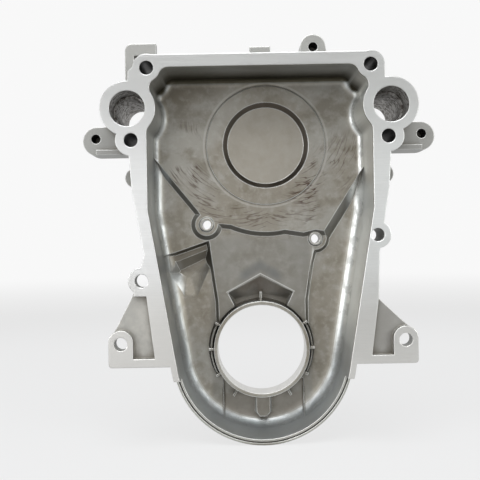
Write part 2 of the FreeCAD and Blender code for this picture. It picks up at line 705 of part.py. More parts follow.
def bolt_bosses():
    """Round bosses for every bolt and both coolant ports, with the webs between them."""
    blocks = []
    for name, side in side_bosses.items():
        blocks.append(rod(name + "TopBoss", top_bolt_x * side, top_bolt_z, top_boss, block_face, pump_face))
        blocks.append(rod(name + "PortBoss", port_x * side, port_z, port_boss, block_face, pump_face))
        blocks.append(rod(name + "LowBoss", low_bolt_x * side, low_bolt_z, low_boss, block_face, pump_face))
        inner = (top_bolt_x - top_boss * 0.9) * side
        outer = (top_bolt_x + top_boss) * side
        web = [(inner, port_z), (outer, port_z), (outer, top_bolt_z), (inner, top_bolt_z)]
        blocks.append(slab(name + "BossWeb", block_face, pump_face, web))
    blocks.append(rod("LeftSideBoss", left_bolt_x, left_bolt_z, side_boss, block_face, flange))
    blocks.append(rod("RightSideBoss", right_bolt_x, right_bolt_z, side_boss, block_face, right_bolt_length))
    blocks.append(rod("LeftPinBoss", left_pin_x, left_pin_z, pin_boss, upper_floor, pump_face))
    blocks.append(rod("RightPinBoss", right_pin_x, right_pin_z, pin_boss, middle_floor, pump_face))
    return blocks


def side_lugs():
    """Round-ended lugs set back behind the rail, each stiffened by a rib along its lower edge."""
    blocks = []
    end = lug_face + lug_thickness
    middle = lug_z - lug_drop
    low = middle - lug_radius
    for name, side in side_bosses.items():
        root = port_x * side
        tip = (lug_x - lug_radius * 0.1) * side
        high = middle + lug_radius
        plate = [(root, low), (tip, low), (tip, high), (root, high)]
        rib = [(root, low), (tip, low), (tip, low + lug_rib), (root, low + lug_rib)]
        blocks.append(rod(name + "LugEnd", tip, middle, lug_radius, lug_face, end))
        blocks.append(slab(name + "LugPlate", lug_face, end, plate))
        blocks.append(slab(name + "LugRib", lug_face - lug_rib_rise, end, rib))
    return blocks


def crest_lug():
    """The lug that stands up from the top edge, with flared sides."""
    start = lug_face + crest_setback
    end = start + lug_thickness
    base = chamber_top + wall * 0.75
    foot = crest_radius + crest_flare
    sides = [
        (crest_x - foot, base),
        (crest_x + foot, base),
        (crest_x + crest_radius, crest_z),
        (crest_x - crest_radius, crest_z),
    ]
    round_end = rod("CrestEnd", crest_x, crest_z, crest_radius, start, end)
    return [round_end, slab("CrestPlate", start, end, sides)]


def small_tabs():
    """The bent tab behind the left top corner and the thin tab on the top edge."""
    outer = -(tab_x + tab_leg)
    joint = -(top_bolt_x + top_boss * 0.8)
    corners = [
        (outer, tab_foot_z),
        (joint, tab_foot_z),
        (joint, tab_foot_z + tab_leg * 2.0),
        (-tab_x, tab_foot_z + tab_leg * 2.5),
        (-tab_x, tab_top_z - tab_bar),
        (-tab_end_x, tab_top_z - tab_bar),
        (-tab_end_x, tab_top_z),
        (outer, tab_top_z),
    ]
    bent = slab("BentTabBlock", tab_face, tab_face + tab_depth, corners)
    side = -tab_x.number
    height = (tab_top_z - tab_bar).number

    def outer_corner(bounds):
        return upright(bounds) and bounds.XMax < side and bounds.ZMax > height

    across = (crest_tab_x - crest_tab_half, crest_tab_x + crest_tab_half)
    depths = (crest_tab_face, crest_tab_face + crest_tab_depth)
    top_tab = box("TopTab", across, depths, (chamber_top, crest_tab_z))
    return [rounded("BentTab", bent, outer_corner, tab_leg * 0.8), top_tab]


def wall_bosses():
    """The bosses that run along the side walls below the ports, with the webs that carry them."""
    blocks = []
    low = low_tap_z - low_tap * 0.8
    high = low_tap_z + low_tap * 1.8
    for name, side in side_bosses.items():
        root = (chamber_half + wall * 0.25) * side
        middle = low_tap_x * side
        edge = (low_tap_x + low_tap * 0.95) * side
        web = [(root, low), (middle, low), (edge, low_tap_z), (middle, high), (root, high)]
        blocks.append(slab(name + "TapWeb", tap_face + overrun, side_floor, web))
        blocks.append(rod(name + "TapBoss", middle, low_tap_z, low_tap, tap_face, side_floor + wall * 0.5))
    return blocks


# Hollows of the chamber, floor by floor

def hollow(name, outline, start, floor, blend):
    """A whole outline sunk to one floor, with the walls blended into it."""
    block = prism(name + "Block", outline, block_face, floor)
    bind(block, "LengthRev", -as_size(start))
    return rounded(name, block, at_depth(floor), blend)


def channel_hollow(name, floor, blend):
    """The deeper floors only take away what lies below the walls, which the upper floor has opened."""
    return hollow(name, channel, floor - blend * 1.05, floor, blend)


def plateau(name, floor, slope, corners, rounds):
    """A part of the floor that stays up, sloping away below it, with the round bosses it runs round."""
    bottom = side_floor + floor_blend
    spread = (bottom - floor).number * math.tan(math.radians(slope.number))
    start = floor - middle_blend * 1.2
    blocks = [slab(name + "Top", start, floor, corners), slab(name + "Field", floor, bottom, corners, slope)]
    for place, (x, z, radius) in enumerate(rounds):
        blocks.append(rod(f"{name}Round{place}", x, z, radius, start, floor))
        blocks.append(cone(f"{name}Foot{place}", x, z, radius, radius + spread, floor, bottom))
    return fused(name, blocks)


def upper_plateau():
    """The highest part of the floor: round the camshaft pad and the left pump bolt."""
    far = rail_shoulder_x + outside_reach
    top = chamber_top + wall + rail_top
    corners = [
        (-far, plateau_left_z),
        (plateau_left_x, plateau_left_foot),
        (left_pin_x, left_pin_z),
        (cam_x - cam_step * 0.534, cam_z - cam_step * 0.898),
        (cam_x + cam_step * 0.153, cam_z - cam_step * 0.970),
        (plateau_notch_x, plateau_right_foot),
        (right_pin_x, right_pin_z + pin_boss * 0.82),
        (right_pin_x + pin_boss * 0.76, right_pin_z + pin_boss * 0.7),
        (far, plateau_right_z),
        (far, top),
        (-far, top),
    ]
    rounds = [(cam_x, cam_z, cam_step), (left_pin_x, left_pin_z, pin_boss)]
    return plateau("UpperPlateau", upper_floor, step_slope, corners, rounds)


def middle_plateau():
    """The column between the pump bolts and the seal, with the shoulder to its left."""
    far = rail_shoulder_x + outside_reach
    corners = [
        (-far, pocket_outer_z),
        (column_left_x, pocket_inner_z),
        (column_left_waist, column_waist_z),
        (-seal_ring * 0.88, seal_ring * 0.5),
        (seal_ring * 0.94, seal_ring * 0.5),
        (column_right_waist, column_waist_z),
        (column_right_x, right_pin_z - pin_boss * 2.2),
        (right_pin_x, right_pin_z - pin_boss * 0.5),
        (right_pin_x, cam_z),
        (-far, cam_z),
    ]
    rounds = [(right_pin_x, right_pin_z, pin_boss)]
    return plateau("MiddlePlateau", middle_floor, column_slope, corners, rounds)


def sump():
    """The pocket below the seal ring, as deep as the floor allows."""
    depths = (block_face, sump_floor + overrun)
    reach = box("SumpReach", (sump_left, sump_right), depths, (-(chamber_radius + overrun), sump_top_z))
    return shared("Sump", channel_hollow("SumpHollow", sump_floor, side_blend), reach)


def tapering(name, start, near_corners, end, far_corners):
    """A block whose outline changes from one set of corners to another on its way."""
    block = doc.addObject("Part::Loft", name)
    near = polygon(name + "Near", start, near_corners)
    block.Sections = [near, polygon(name + "Far", end, far_corners)]
    block.Solid = True
    block.Ruled = True
    return block


def pocket_block(name, start, margin):
    """The faceted pocket beside the column or, with a margin, the bulge in front of it."""
    proportions = [
        ((0.02, 0.00), (-0.11, 0.23), (1.0, 1.0)),
        ((-0.96, 0.16), (-0.76, 0.38), (-0.8, 1.0)),
        ((-1.03, 0.42), (-0.78, 0.41), (-0.8, -1.0)),
        ((-0.71, 0.94), (-0.60, 0.46), (-1.0, -1.0)),
        ((-0.18, 1.00), (-0.50, 0.45), (0.5, -1.0)),
        ((0.10, 0.42), (-0.08, 0.28), (1.0, 0.0)),
    ]
    near = []
    far = []
    for top, bottom, out in proportions:
        for corners, (across, down), grown in ((near, top, margin), (far, bottom, margin * 0.5)):
            x = column_left_x + pocket_width * across + grown * out[0]
            corners.append((x, pocket_inner_z - pocket_height * down + grown * out[1]))
    return tapering(name, start, near, pocket_floor + margin, far)


def trough():
    """The hollow above the seal ring, with its pointed upper edge."""
    near = [
        (-chevron_half, chevron_side_z),
        (-seal_ring * 0.47, seal_ring * 0.7),
        (seal_ring * 0.47, seal_ring * 0.7),
        (chevron_half, chevron_side_z),
        (0.0, chevron_top_z),
    ]
    far = [
        (-chevron_half * 0.81, seal_ring * 1.02),
        (-seal_ring * 0.33, seal_ring * 0.5),
        (seal_ring * 0.33, seal_ring * 0.5),
        (chevron_half * 0.81, seal_ring * 1.02),
        (0.0, seal_ring * 1.14),
    ]
    return tapering("Trough", middle_floor - overrun * 0.5, near, trough_floor, far)


def cam_pad_block():
    """The flat round pad in front of the camshaft."""
    return rod("CamPad", cam_x, cam_z, cam_pad, upper_floor - cam_pad_rise, upper_floor + overrun)


def cam_disc_block():
    """The shallow round recess in the middle of that pad."""
    face = upper_floor - cam_pad_rise
    return cone("CamDisc", cam_x, cam_z, cam_disc, cam_disc_floor, face, cam_floor)


def pin_rims():
    rims = []
    for name, x, z, floor in (("Left", left_pin_x, left_pin_z, upper_floor),
                              ("Right", right_pin_x, right_pin_z, middle_floor)):
        face = floor - pin_rim_rise
        rims.append(cone(name + "PinRim", x, z, pin_rim - pin_rim_flank, pin_rim, face, floor + overrun))
    return rims


# Seal ring with its grooves and ribs

def ring_between(name, inner, outer, start, end):
    core = rod(name + "Core", 0.0, 0.0, inner, start - overrun, end + overrun)
    return cut(name, rod(name + "Disc", 0.0, 0.0, outer, start, end), core)


def beside_the_seal():
    """Wedges that leave only the parts of a ring to the left and right of the crankshaft."""
    reach = seal_collar * 1.4
    rise = reach * math.tan(math.radians(bridge_spread.number))
    wedges = []
    for name, side in side_bosses.items():
        corners = [(0.0, 0.0), (reach * side, -rise), (reach * side, rise)]
        wedges.append(slab(name + "Wedge", seal_inner, seal_outer, corners))
    return fused("Wedges", wedges)


def seal_grooves(wedges):
    side_groove = ring_between("SideGroove", seal_ring, groove_outer, rib_top, groove_floor)
    return [
        ring_between("InnerGroove", seal_ring, groove_inner, rib_top, groove_floor),
        shared("OuterGroove", side_groove, wedges),
    ]


def spoke(name, angle, outer, top, bottom):
    """A thin rib from the seal ring outwards, at an angle above the right-hand side."""
    root = seal_ring - seal_lip * 0.2
    half = bridge_width * 0.5
    block = doc.addObject("Part::Box", name)
    bind(block, "Length", outer - root)
    bind(block, "Width", bottom - top)
    bind(block, "Height", bridge_width)
    turn = FreeCAD.Rotation(Vector(0, 1, 0), -angle.number)
    block.Placement = FreeCAD.Placement(Vector(0, 0, 0), turn)
    bind(block, "Placement.Rotation.Angle", in_degrees(full_turn - angle))
    bind(block, "Placement.Base.x", root * along(angle) + half * upwards(angle))
    bind(block, "Placement.Base.z", root * upwards(angle) - half * along(angle))
    place_on_y(block, top)
    return block


def seal_ribs(wedges):
    """The thin ribs beside the ring, the bridges to them and the spokes above and below."""
    side_rib = ring_between("SideRib", groove_inner, groove_rib, rib_top, groove_floor)
    ribs = [shared("SideRibs", side_rib, wedges)]
    half_turn = full_turn * 0.5
    for place, angle in enumerate((-bridge_spread, as_size(0.0), bridge_spread)):
        for name, direction in (("Right", angle), ("Left", half_turn - angle)):
            ribs.append(spoke(f"{name}Bridge{place}", direction, groove_outer, bridge_top, groove_floor))
    mirrored = full_turn + half_turn - low_spoke
    for name, direction, floor in (("Top", full_turn * 0.25, trough_floor),
                                   ("LowerLeft", low_spoke, sump_floor),
                                   ("LowerRight", mirrored, sump_floor)):
        ribs.append(spoke(name + "Spoke", direction, seal_collar, floor - spoke_height, floor + overrun))
    return ribs


def oil_tongue():
    """The blunt tongue below the ring, in the middle of the lower pocket."""
    left = tongue_x - tongue_half
    right = tongue_x + tongue_half
    shoulder = tongue_reach - tongue_half * 0.6
    corners = [
        (left, -seal_ring * 0.96),
        (left, -shoulder),
        (tongue_x - tongue_half * 0.5, -tongue_reach),
        (tongue_x + tongue_half * 0.5, -tongue_reach),
        (right, -shoulder),
        (right, -seal_ring * 0.96),
    ]
    return slab("Tongue", tongue_face, sump_floor + overrun, corners, tongue_draft)


# Holes, ports and machined cuts

def rim_cut():
    """Takes the rim of the round end back and grooves it for the oil pan seal."""
    reach = chamber_radius + wall + overrun
    near = pan_rim - overrun
    far = pan_rim + rim_groove
    below = box("RimRoom", (-reach, reach), (-overrun, pan_rim), (-reach, rail_end_z))
    inner = chamber_radius + rim_groove_out
    ring = ring_between("RimRing", inner, inner + rim_groove_width, near, far)
    low_half = box("RimHalf", (-reach, reach), (near, far + overrun), (-reach, rail_end_z + overrun * 0.5))
    return [below, shared("RimGroove", ring, low_half)]


def coolant_ports():
    """The machined mouths of the ports and the cast passages that lean inwards behind them."""
    ports = []
    length = pump_face - port_mouth + overrun * 2.0
    for name, side in side_bosses.items():
        x = port_x * side
        ports.append(rod(name + "PortMouth", x, port_z, port_radius, -overrun, port_mouth))
        drawing = sketch(name + "PassageOutline", port_mouth - overrun)
        centre = Vector(x.number, port_z.number, 0)
        circle = drawing.addGeometry(Part.Circle(centre, Vector(0, 0, 1), passage_radius.number))
        dimension(drawing, "Radius", (circle,), passage_radius)
        pin_point(drawing, circle, 3, x, port_z)
        passage = doc.addObject("Part::Extrusion", name + "Passage")
        passage.Base = drawing
        passage.DirMode = "Custom"
        passage.Solid = True
        bind(passage, "Dir.x", -(passage_inboard * side))
        bind(passage, "Dir.y", length)
        bind(passage, "Dir.z", -passage_drop)
        bind(passage, "LengthFwd", length)
        ports.append(passage)
    return ports


def bolt_holes():
    """Every bolt hole: those in the set-back lugs are blind, the others go right through."""
    far = pump_face + overrun
    holes = []
    for name, side in side_bosses.items():
        lug_start = lug_face - lug_rib_rise - overrun
        holes.append(rod(name + "TopBolt", top_bolt_x * side, top_bolt_z, bolt_radius, -overrun, far))
        holes.append(rod(name + "LowBolt", low_bolt_x * side, low_bolt_z, bolt_radius, -overrun, far))
        ear_end = flange + overrun
        holes.append(rod(name + "EarBolt", ear_hole_x * side, ear_hole_z, ear_hole_radius, -overrun, ear_end))
        lug_end = lug_face + lug_hole_depth
        holes.append(rod(name + "LugBolt", lug_x * side, lug_z, lug_hole, lug_start, lug_end))
    left_end = flange + overrun
    right_end = right_bolt_length + overrun
    holes.append(rod("LeftSideBolt", left_bolt_x, left_bolt_z, ear_hole_radius, -overrun, left_end))
    holes.append(rod("RightSideBolt", right_bolt_x, right_bolt_z, ear_hole_radius, -overrun, right_end))
    holes.append(rod("LeftPin", left_pin_x, left_pin_z, pin_radius, seal_inner, far))
    holes.append(rod("RightPin", right_pin_x, right_pin_z, pin_radius, seal_inner, far))
    crest_start = lug_face + crest_setback
    crest_end = crest_start + lug_hole_depth
    holes.append(rod("CrestBolt", crest_x, crest_z, lug_hole, crest_start - overrun, crest_end))
    return holes


# The casting, step by step

cam_floor = upper_floor - cam_pad_rise + cam_disc_depth
flanges = [rail(), *ear_pads(), *bolt_bosses()]
lugs = [*side_lugs(), *crest_lug(), *small_tabs(), *wall_bosses()]
outside = fused("Outside", [*outer_shell(), *flanges, *lugs])
opened = cut("Opened", outside, hollow("UpperHollow", chamber, block_face, upper_floor, floor_blend))
upper = upper_plateau()
below_upper = cut("MiddleDrop", channel_hollow("MiddleHollow", middle_floor, middle_blend), upper)
both = fused("Plateaus", [upper, middle_plateau()])
below_middle = cut("SideDrop", channel_hollow("SideHollow", side_floor, side_blend), both)
pocket = pocket_block("Pocket", middle_floor - overrun * 0.5, as_size(0.0))
stepped = opened
for number, drop in enumerate((below_upper, below_middle, sump(), pocket, trough()), 1):
    stepped = cut(f"Stepped{number}", stepped, drop)
seal = rod("SealRing", 0.0, 0.0, seal_ring, seal_inner, seal_outer)
raised = fused("Raised", [stepped, seal, cam_pad_block(), *pin_rims(), oil_tongue()])
wedges = beside_the_seal()
grooved = cut("Grooved", raised, fused("SealGrooves", seal_grooves(wedges)))
ribbed = fused("Ribbed", [grooved, *seal_ribs(wedges)])
seal_bore = rod("SealBore", 0.0, 0.0, seal_radius, seal_inner - overrun, seal_outer + overrun)
bores = fused("Bores", [seal_bore, cam_disc_block(), *rim_cut(), *coolant_ports(), *bolt_holes()])
cover = cut("TimingCover", ribbed, bores)
cover.Label = "timing_cover"
doc.recompute()

for item in doc.Objects:
    if "Invalid" in item.State or "Error" in item.State:
        raise RuntimeError(f"{item.Name} could not be built")
if cover.Shape.isNull() or not cover.Shape.isValid() or len(cover.Shape.Solids) != 1:
    raise RuntimeError("the cover is not one sound solid")

os.makedirs("parts", exist_ok=True)
cover.Shape.exportStep("parts/timing_cover.step")
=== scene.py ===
# %% [markdown]
# The timing cover as it lies in front of the camera
#
# This is the front cover of a V engine, seen from the side that lies on the engine block. It is one
# aluminium casting: a bright machined rail round a deep, rough chamber. The shape comes from the packed
# model, so this lesson is about what a casting looks like: its two finishes, its soft edges and the
# light that shows both. The box of the packed model is kept first, because the finished piece has to
# stay inside it.

import json
import math

import bmesh
import bpy
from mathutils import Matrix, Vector


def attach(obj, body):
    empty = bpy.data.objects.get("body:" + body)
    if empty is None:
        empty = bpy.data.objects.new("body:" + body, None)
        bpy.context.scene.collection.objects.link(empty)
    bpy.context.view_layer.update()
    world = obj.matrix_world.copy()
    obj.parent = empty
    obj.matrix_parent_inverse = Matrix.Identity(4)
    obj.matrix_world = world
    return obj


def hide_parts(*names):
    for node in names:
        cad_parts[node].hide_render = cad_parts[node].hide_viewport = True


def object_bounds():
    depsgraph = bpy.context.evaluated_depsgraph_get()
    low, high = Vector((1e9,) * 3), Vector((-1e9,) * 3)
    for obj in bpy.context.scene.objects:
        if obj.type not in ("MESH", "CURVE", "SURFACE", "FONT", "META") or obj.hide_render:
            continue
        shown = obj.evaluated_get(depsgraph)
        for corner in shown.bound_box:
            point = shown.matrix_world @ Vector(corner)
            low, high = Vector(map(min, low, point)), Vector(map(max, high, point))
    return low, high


MM_PER_METRE = 1000

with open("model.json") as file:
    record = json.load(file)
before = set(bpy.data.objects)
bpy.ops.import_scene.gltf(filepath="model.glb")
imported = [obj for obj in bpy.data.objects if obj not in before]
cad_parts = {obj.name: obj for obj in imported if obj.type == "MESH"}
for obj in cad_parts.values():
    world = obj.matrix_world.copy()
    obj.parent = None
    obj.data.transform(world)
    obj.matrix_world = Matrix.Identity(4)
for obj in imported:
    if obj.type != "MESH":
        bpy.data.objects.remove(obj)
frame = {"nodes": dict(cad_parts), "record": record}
packed_low, packed_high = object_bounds()
cover = frame["nodes"]["timing_cover"]
mounts = {mount["name"]: mount for mount in frame["record"]["mounts"]}
packed_size = [round((high - low) * MM_PER_METRE, 1) for low, high in zip(packed_low, packed_high)]
print("packed cover:", packed_size, "mm")

# %% [markdown]
# The camera
#
# The photograph looks squarely into the chamber from just over half a metre. The far floor looks smaller
# than the near rail, and how much smaller gives the distance. The picture is a square of 480 pixels. The
# focal length comes from fitting the bolt holes, so it is kept in pixels and turned into a lens. A camera
# in Blender looks along its own -Z, so a quarter turn about X points it along +Y, into the cover, and a
# second, small turn gives it the roll that the photograph has. A camera placed by eye would do for a new
# picture, but only a fitted one lets both pictures be laid over each other.

# %% Place the camera
PICTURE_PIXELS = 480
FOCAL_PIXELS = 804
SENSOR_WIDTH = 36.0
BLOCK_FACE_Y = -0.042
CAMERA_DISTANCE = 0.560
CAMERA_X = -0.0150
CAMERA_Z = 0.0822
CAMERA_ROLL = math.radians(1.03)
NEAREST_SEEN = 0.01

camera_data = bpy.data.cameras.new("camera")
camera_data.sensor_width = SENSOR_WIDTH
camera_data.lens = SENSOR_WIDTH * FOCAL_PIXELS / PICTURE_PIXELS
camera_data.clip_start = NEAREST_SEEN
camera = bpy.data.objects.new("camera", camera_data)
camera.location = (CAMERA_X, BLOCK_FACE_Y - CAMERA_DISTANCE, CAMERA_Z)
camera.rotation_euler = (math.radians(90), CAMERA_ROLL, 0)
bpy.context.scene.collection.objects.link(camera)
bpy.context.scene.camera = camera
print("lens:", round(camera_data.lens, 1), "mm")

# %% [markdown]
# Small tools for node trees
#
# Both the stage and the casting are coloured by node trees. A few short functions keep those readable:
# each makes one node, or a few, feeds them with outputs or plain numbers, and gives an output back. Two
# are used most: rising turns a place or a noise into a share between 0 and 1, and painted lays a colour
# over another by such a share, like a coat of paint.

# %% Define the node tools
class Tree:
    """A cleared node tree with short ways to add the nodes that this scene needs."""

    def __init__(self, owner):
        owner.use_nodes = True
        self.tree = owner.node_tree
        self.tree.nodes.clear()

    def count(self):
        return len(self.tree.nodes)

    def node(self, kind, **settings):
        made = self.tree.nodes.new(kind)
        for name, value in settings.items():
            setattr(made, name, value)
        return made

    def feed(self, value, socket):
        """Links an output to a socket, or writes a plain number or colour on it."""
        if isinstance(value, bpy.types.NodeSocket):
            self.tree.links.new(value, socket)
        else:
            socket.default_value = (*value, 1) if isinstance(value, tuple) and len(value) == 3 else value

    def maths(self, operation, *values):
        made = self.node("ShaderNodeMath", operation=operation)
        for value, socket in zip(values, made.inputs):
            self.feed(value, socket)
        return made.outputs[0]

    def product(self, first, *others):
        for other in others:
            first = self.maths("MULTIPLY", first, other)
        return first

    def larger(self, first, *others):
        for other in others:
            first = self.maths("MAXIMUM", first, other)
        return first

    def total(self, first, second):
        return self.maths("ADD", first, second)

    def minus(self, first, second):
        return self.maths("SUBTRACT", first, second)

    def apart(self, first, second):
        """How far two values are apart, whichever of them is larger."""
        return self.maths("ABSOLUTE", self.minus(first, second))

    def inverse(self, value):
        return self.minus(1.0, value)

    def rising(self, value, start, end, low=0.0, high=1.0):
        """Goes smoothly from low to high while the value goes from start to end."""
        made = self.node("ShaderNodeMapRange", interpolation_type="SMOOTHSTEP")
        for number, socket in zip((value, start, end, low, high), made.inputs):
            self.feed(number, socket)
        return made.outputs[0]

    def band(self, value, start, end, soft):
        """One between start and end, with soft limits, and zero elsewhere."""
        over = self.rising(value, start - soft, start + soft)
        return self.product(over, self.inverse(self.rising(value, end - soft, end + soft)))

    def blended(self, share, first, second):
        """Mixes two colours, which this node takes at its sockets 6 and 7 and gives back at output 2."""
        made = self.node("ShaderNodeMix", data_type="RGBA")
        for value, place in ((share, 0), (first, 6), (second, 7)):
            self.feed(value, made.inputs[place])
        return made.outputs[2]

    def painted(self, base, colour, share, strength=1.0):
        """The base with a colour over it, where the share says and as strongly as wanted."""
        return self.blended(self.product(share, strength), base, colour)

    def noise(self, place, scale, detail, roughness=0.5):
        made = self.node("ShaderNodeTexNoise")
        names = ("Vector", "Scale", "Detail", "Roughness")
        for value, name in zip((place, scale, detail, roughness), names):
            self.feed(value, made.inputs[name])
        return made.outputs[0]

    def stretched(self, place, scale, turn):
        """The same place seen through a turned and stretched ruler, for grain that runs one way."""
        made = self.node("ShaderNodeMapping")
        made.inputs["Scale"].default_value = scale
        made.inputs["Rotation"].default_value = (0.0, turn, 0.0)
        self.feed(place, made.inputs["Vector"])
        return made.outputs[0]

    def parts(self, vector):
        made = self.node("ShaderNodeSeparateXYZ")
        self.feed(vector, made.inputs[0])
        return made.outputs

    def vector(self, *values):
        made = self.node("ShaderNodeCombineXYZ")
        for value, socket in zip(values, made.inputs):
            self.feed(value, socket)
        return made.outputs[0]

    def seen(self):
        """One for the rays that should see the pale backdrop: from the camera, mirrors and glass."""
        path = self.node("ShaderNodeLightPath")
        kinds = ("Is Camera Ray", "Is Glossy Ray", "Is Transmission Ray")
        return self.larger(*(path.outputs[kind] for kind in kinds))

    def mirrored(self):
        """One for the rays that a shiny surface sends out."""
        return self.node("ShaderNodeLightPath").outputs["Is Glossy Ray"]

    def choice(self, share, plain, chosen, output):
        made = self.node("ShaderNodeMixShader")
        for value, socket in zip((share, plain, chosen), made.inputs):
            self.feed(value, socket)
        self.feed(made.outputs[0], self.node(output).inputs["Surface"])


print("node tools:", len([name for name in vars(Tree) if not name.startswith("_")]))

# %% [markdown]
# The room
#
# The cover is shown on plain white, but a white room would light it from all sides and leave no shade. So
# the room lights the casting only weakly, and is white only for the rays that come from the camera or
# from a reflection: metal still mirrors a pale room. A reflection that looks straight back past the
# camera finds it a little darker, like the photographer's own side of a studio, and that gives the rail
# its soft grey.

# %% Build the room
BACKDROP_WHITE = 0.94
MIRRORED_BACK = (0.70, 0.705, 0.71)
ROOM_TINT = (0.93, 0.96, 1.0)
ROOM_STRENGTH = 0.34
TOWARDS_CAMERA = (-0.70, -0.98)

world = bpy.data.worlds.new("studio")
bpy.context.scene.world = world
tree = Tree(world)
direction_y = tree.parts(tree.node("ShaderNodeTexCoord").outputs["Generated"])[1]
behind_camera = tree.product(tree.rising(direction_y, *TOWARDS_CAMERA), tree.mirrored())
backdrop = tree.blended(behind_camera, (BACKDROP_WHITE,) * 3, MIRRORED_BACK)
room = tree.node("ShaderNodeBackground")
tree.feed(ROOM_TINT, room.inputs["Color"])
tree.feed(ROOM_STRENGTH, room.inputs["Strength"])
white = tree.node("ShaderNodeBackground")
tree.feed(backdrop, white.inputs["Color"])
tree.choice(tree.seen(), room.outputs[0], white.outputs[0], "ShaderNodeOutputWorld")
bpy.context.scene.view_settings.view_transform = "Standard"
print("room:", tree.count(), "nodes")

# %% [markdown]
# The floor's paint
#
# The floor is painted the same way: matt grey for the light that bounces up from it, and a pale glow for
# what the camera and mirrors see. Glow alone would hide the cover's shadow, so a thin matt layer lies
# over it near the cover. The glow is a little greyer there, where the photograph's white fades too. In a
# reflection its front part is darker, which keeps the walls that face down dark.

# %% Paint the floor
FLOOR_MATT = (0.50, 0.50, 0.49)
FLOOR_NEAR = 0.74
FLOOR_FRONT = 0.30
FLOOR_SHADE = 0.12
FADES_TO_WHITE = (0.2, 3.0)
TO_THE_FRONT = (-0.15, -0.60)
SHADE_FADES_IN = (1.2, 0.5)

floor_paint = bpy.data.materials.new("floor_paint")
tree = Tree(floor_paint)
matt = tree.node("ShaderNodeBsdfDiffuse")
tree.feed(FLOOR_MATT, matt.inputs["Color"])
across, back, _ = tree.parts(tree.node("ShaderNodeTexCoord").outputs["Object"])
reach = tree.maths("SQRT", tree.total(tree.product(across, across), tree.product(back, back)))
glow = tree.node("ShaderNodeEmission")
glow_tone = tree.blended(tree.rising(reach, *FADES_TO_WHITE), (FLOOR_NEAR,) * 3, (BACKDROP_WHITE,) * 3)
in_front = tree.product(tree.rising(back, *TO_THE_FRONT), tree.mirrored())
tree.feed(tree.blended(in_front, glow_tone, (FLOOR_FRONT,) * 3), glow.inputs["Color"])
shadowed = tree.node("ShaderNodeBsdfDiffuse")
tree.feed(tree.rising(reach, *SHADE_FADES_IN, high=FLOOR_SHADE), shadowed.inputs["Color"])
both = tree.node("ShaderNodeAddShader")
tree.feed(glow.outputs[0], both.inputs[0])
tree.feed(shadowed.outputs[0], both.inputs[1])
tree.choice(tree.seen(), matt.outputs[0], both.outputs[0], "ShaderNodeOutputMaterial")
print("floor paint:", tree.count(), "nodes")

# %% [markdown]
# The floor itself
#
# One flat square is enough, at the height of the cover's lowest point. It reaches so far that its edge
# can't be told from the backdrop, so no curved paper is needed behind the cover.

# %% Lay the floor
FLOOR_HALF = 60.0

form = bmesh.new()
bmesh.ops.create_grid(form, x_segments=1, y_segments=1, size=FLOOR_HALF)
bmesh.ops.translate(form, verts=form.verts, vec=Vector((0, 0, packed_low.z)))
floor_mesh = bpy.data.meshes.new("floor")
form.to_mesh(floor_mesh)
form.free()
floor = bpy.data.objects.new("floor", floor_mesh)
floor_mesh.materials.append(floor_paint)
bpy.context.scene.collection.objects.link(floor)
print("floor:", 2 * FLOOR_HALF, "m wide, at", round(packed_low.z * MM_PER_METRE, 1), "mm")

# %% [markdown]
# The lamps
#
# Metal shows its form by what it mirrors, so the lamps are large and soft. The strongest hangs above the
# picture's upper edge: walls that face down stay dark and walls that face up shine. Two weaker ones at
# the sides light the side walls and the rounds at their feet, where their reflections are the thin bright
# lines. A weak one low in front brightens the rail's lower left. A panorama of a studio could light the
# cover as well, but lamps can be moved one at a time, each for the faces that need it. The camera doesn't
# see them, so none stands in a picture from another side.

# %% Hang the lamps
COVER_MIDDLE = (0, 0, 0.08)
COVER_LOW = (0, 0, 0.05)


def soft_lamp(name, place, target, width, watts, tint):
    lamp_data = bpy.data.lights.new(name, "AREA")
    lamp_data.shape = "SQUARE"
    lamp_data.size = width
    lamp_data.energy = watts
    lamp_data.color = tint
    lamp = bpy.data.objects.new(name, lamp_data)
    lamp.location = place
    aim = Vector(target) - Vector(place)
    lamp.rotation_euler = aim.to_track_quat("-Z", "Y").to_euler()
    lamp.visible_camera = False
    bpy.context.scene.collection.objects.link(lamp)
    return lamp


lamps = [
    soft_lamp("upper_lamp", (-0.1, -0.65, 1.10), COVER_MIDDLE, width=0.9, watts=12.0, tint=(0.96, 0.98, 1.0)),
    soft_lamp("front_lamp", (-0.45, -1.5, -0.05), COVER_LOW, width=0.7, watts=3.0, tint=(1.0, 1.0, 1.0)),
    soft_lamp("left_lamp", (-1.0, -0.75, 0.20), COVER_MIDDLE, width=0.7, watts=5.2, tint=(0.97, 0.99, 1.0)),
    soft_lamp("right_lamp", (1.0, -0.75, 0.25), COVER_MIDDLE, width=0.7, watts=4.5, tint=(0.98, 1.0, 0.98)),
]
print("lamps:", {lamp.name: round(lamp.data.energy, 1) for lamp in lamps}, "watts")

# %% [markdown]
# The casting's mesh
#
# The packed mesh is loose triangles with flat shading. Merging their corners joins them into one skin,
# which can then be shaded smoothly where it curves and stay crisp where two faces meet at an angle. The
# packed mesh itself isn't touched: a copy stands in for it.

# %% Merge a copy of the packed mesh
SAME_POINT = 1e-6
CRISP_ANGLE = math.radians(28)

form = bmesh.new()
form.from_mesh(cover.data)
bmesh.ops.remove_doubles(form, verts=form.verts, dist=SAME_POINT)
for face in form.faces:
    face.smooth = True
for edge in form.edges:
    edge.smooth = edge.calc_face_angle(math.pi) < CRISP_ANGLE
casting_mesh = bpy.data.meshes.new("cover_casting")
form.to_mesh(casting_mesh)
print("merged casting:", len(form.verts), "corners,", len(form.faces), "faces")
form.free()
casting = bpy.data.objects.new("cover_casting", casting_mesh)
bpy.context.scene.collection.objects.link(casting)
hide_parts("timing_cover")
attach(casting, "root")

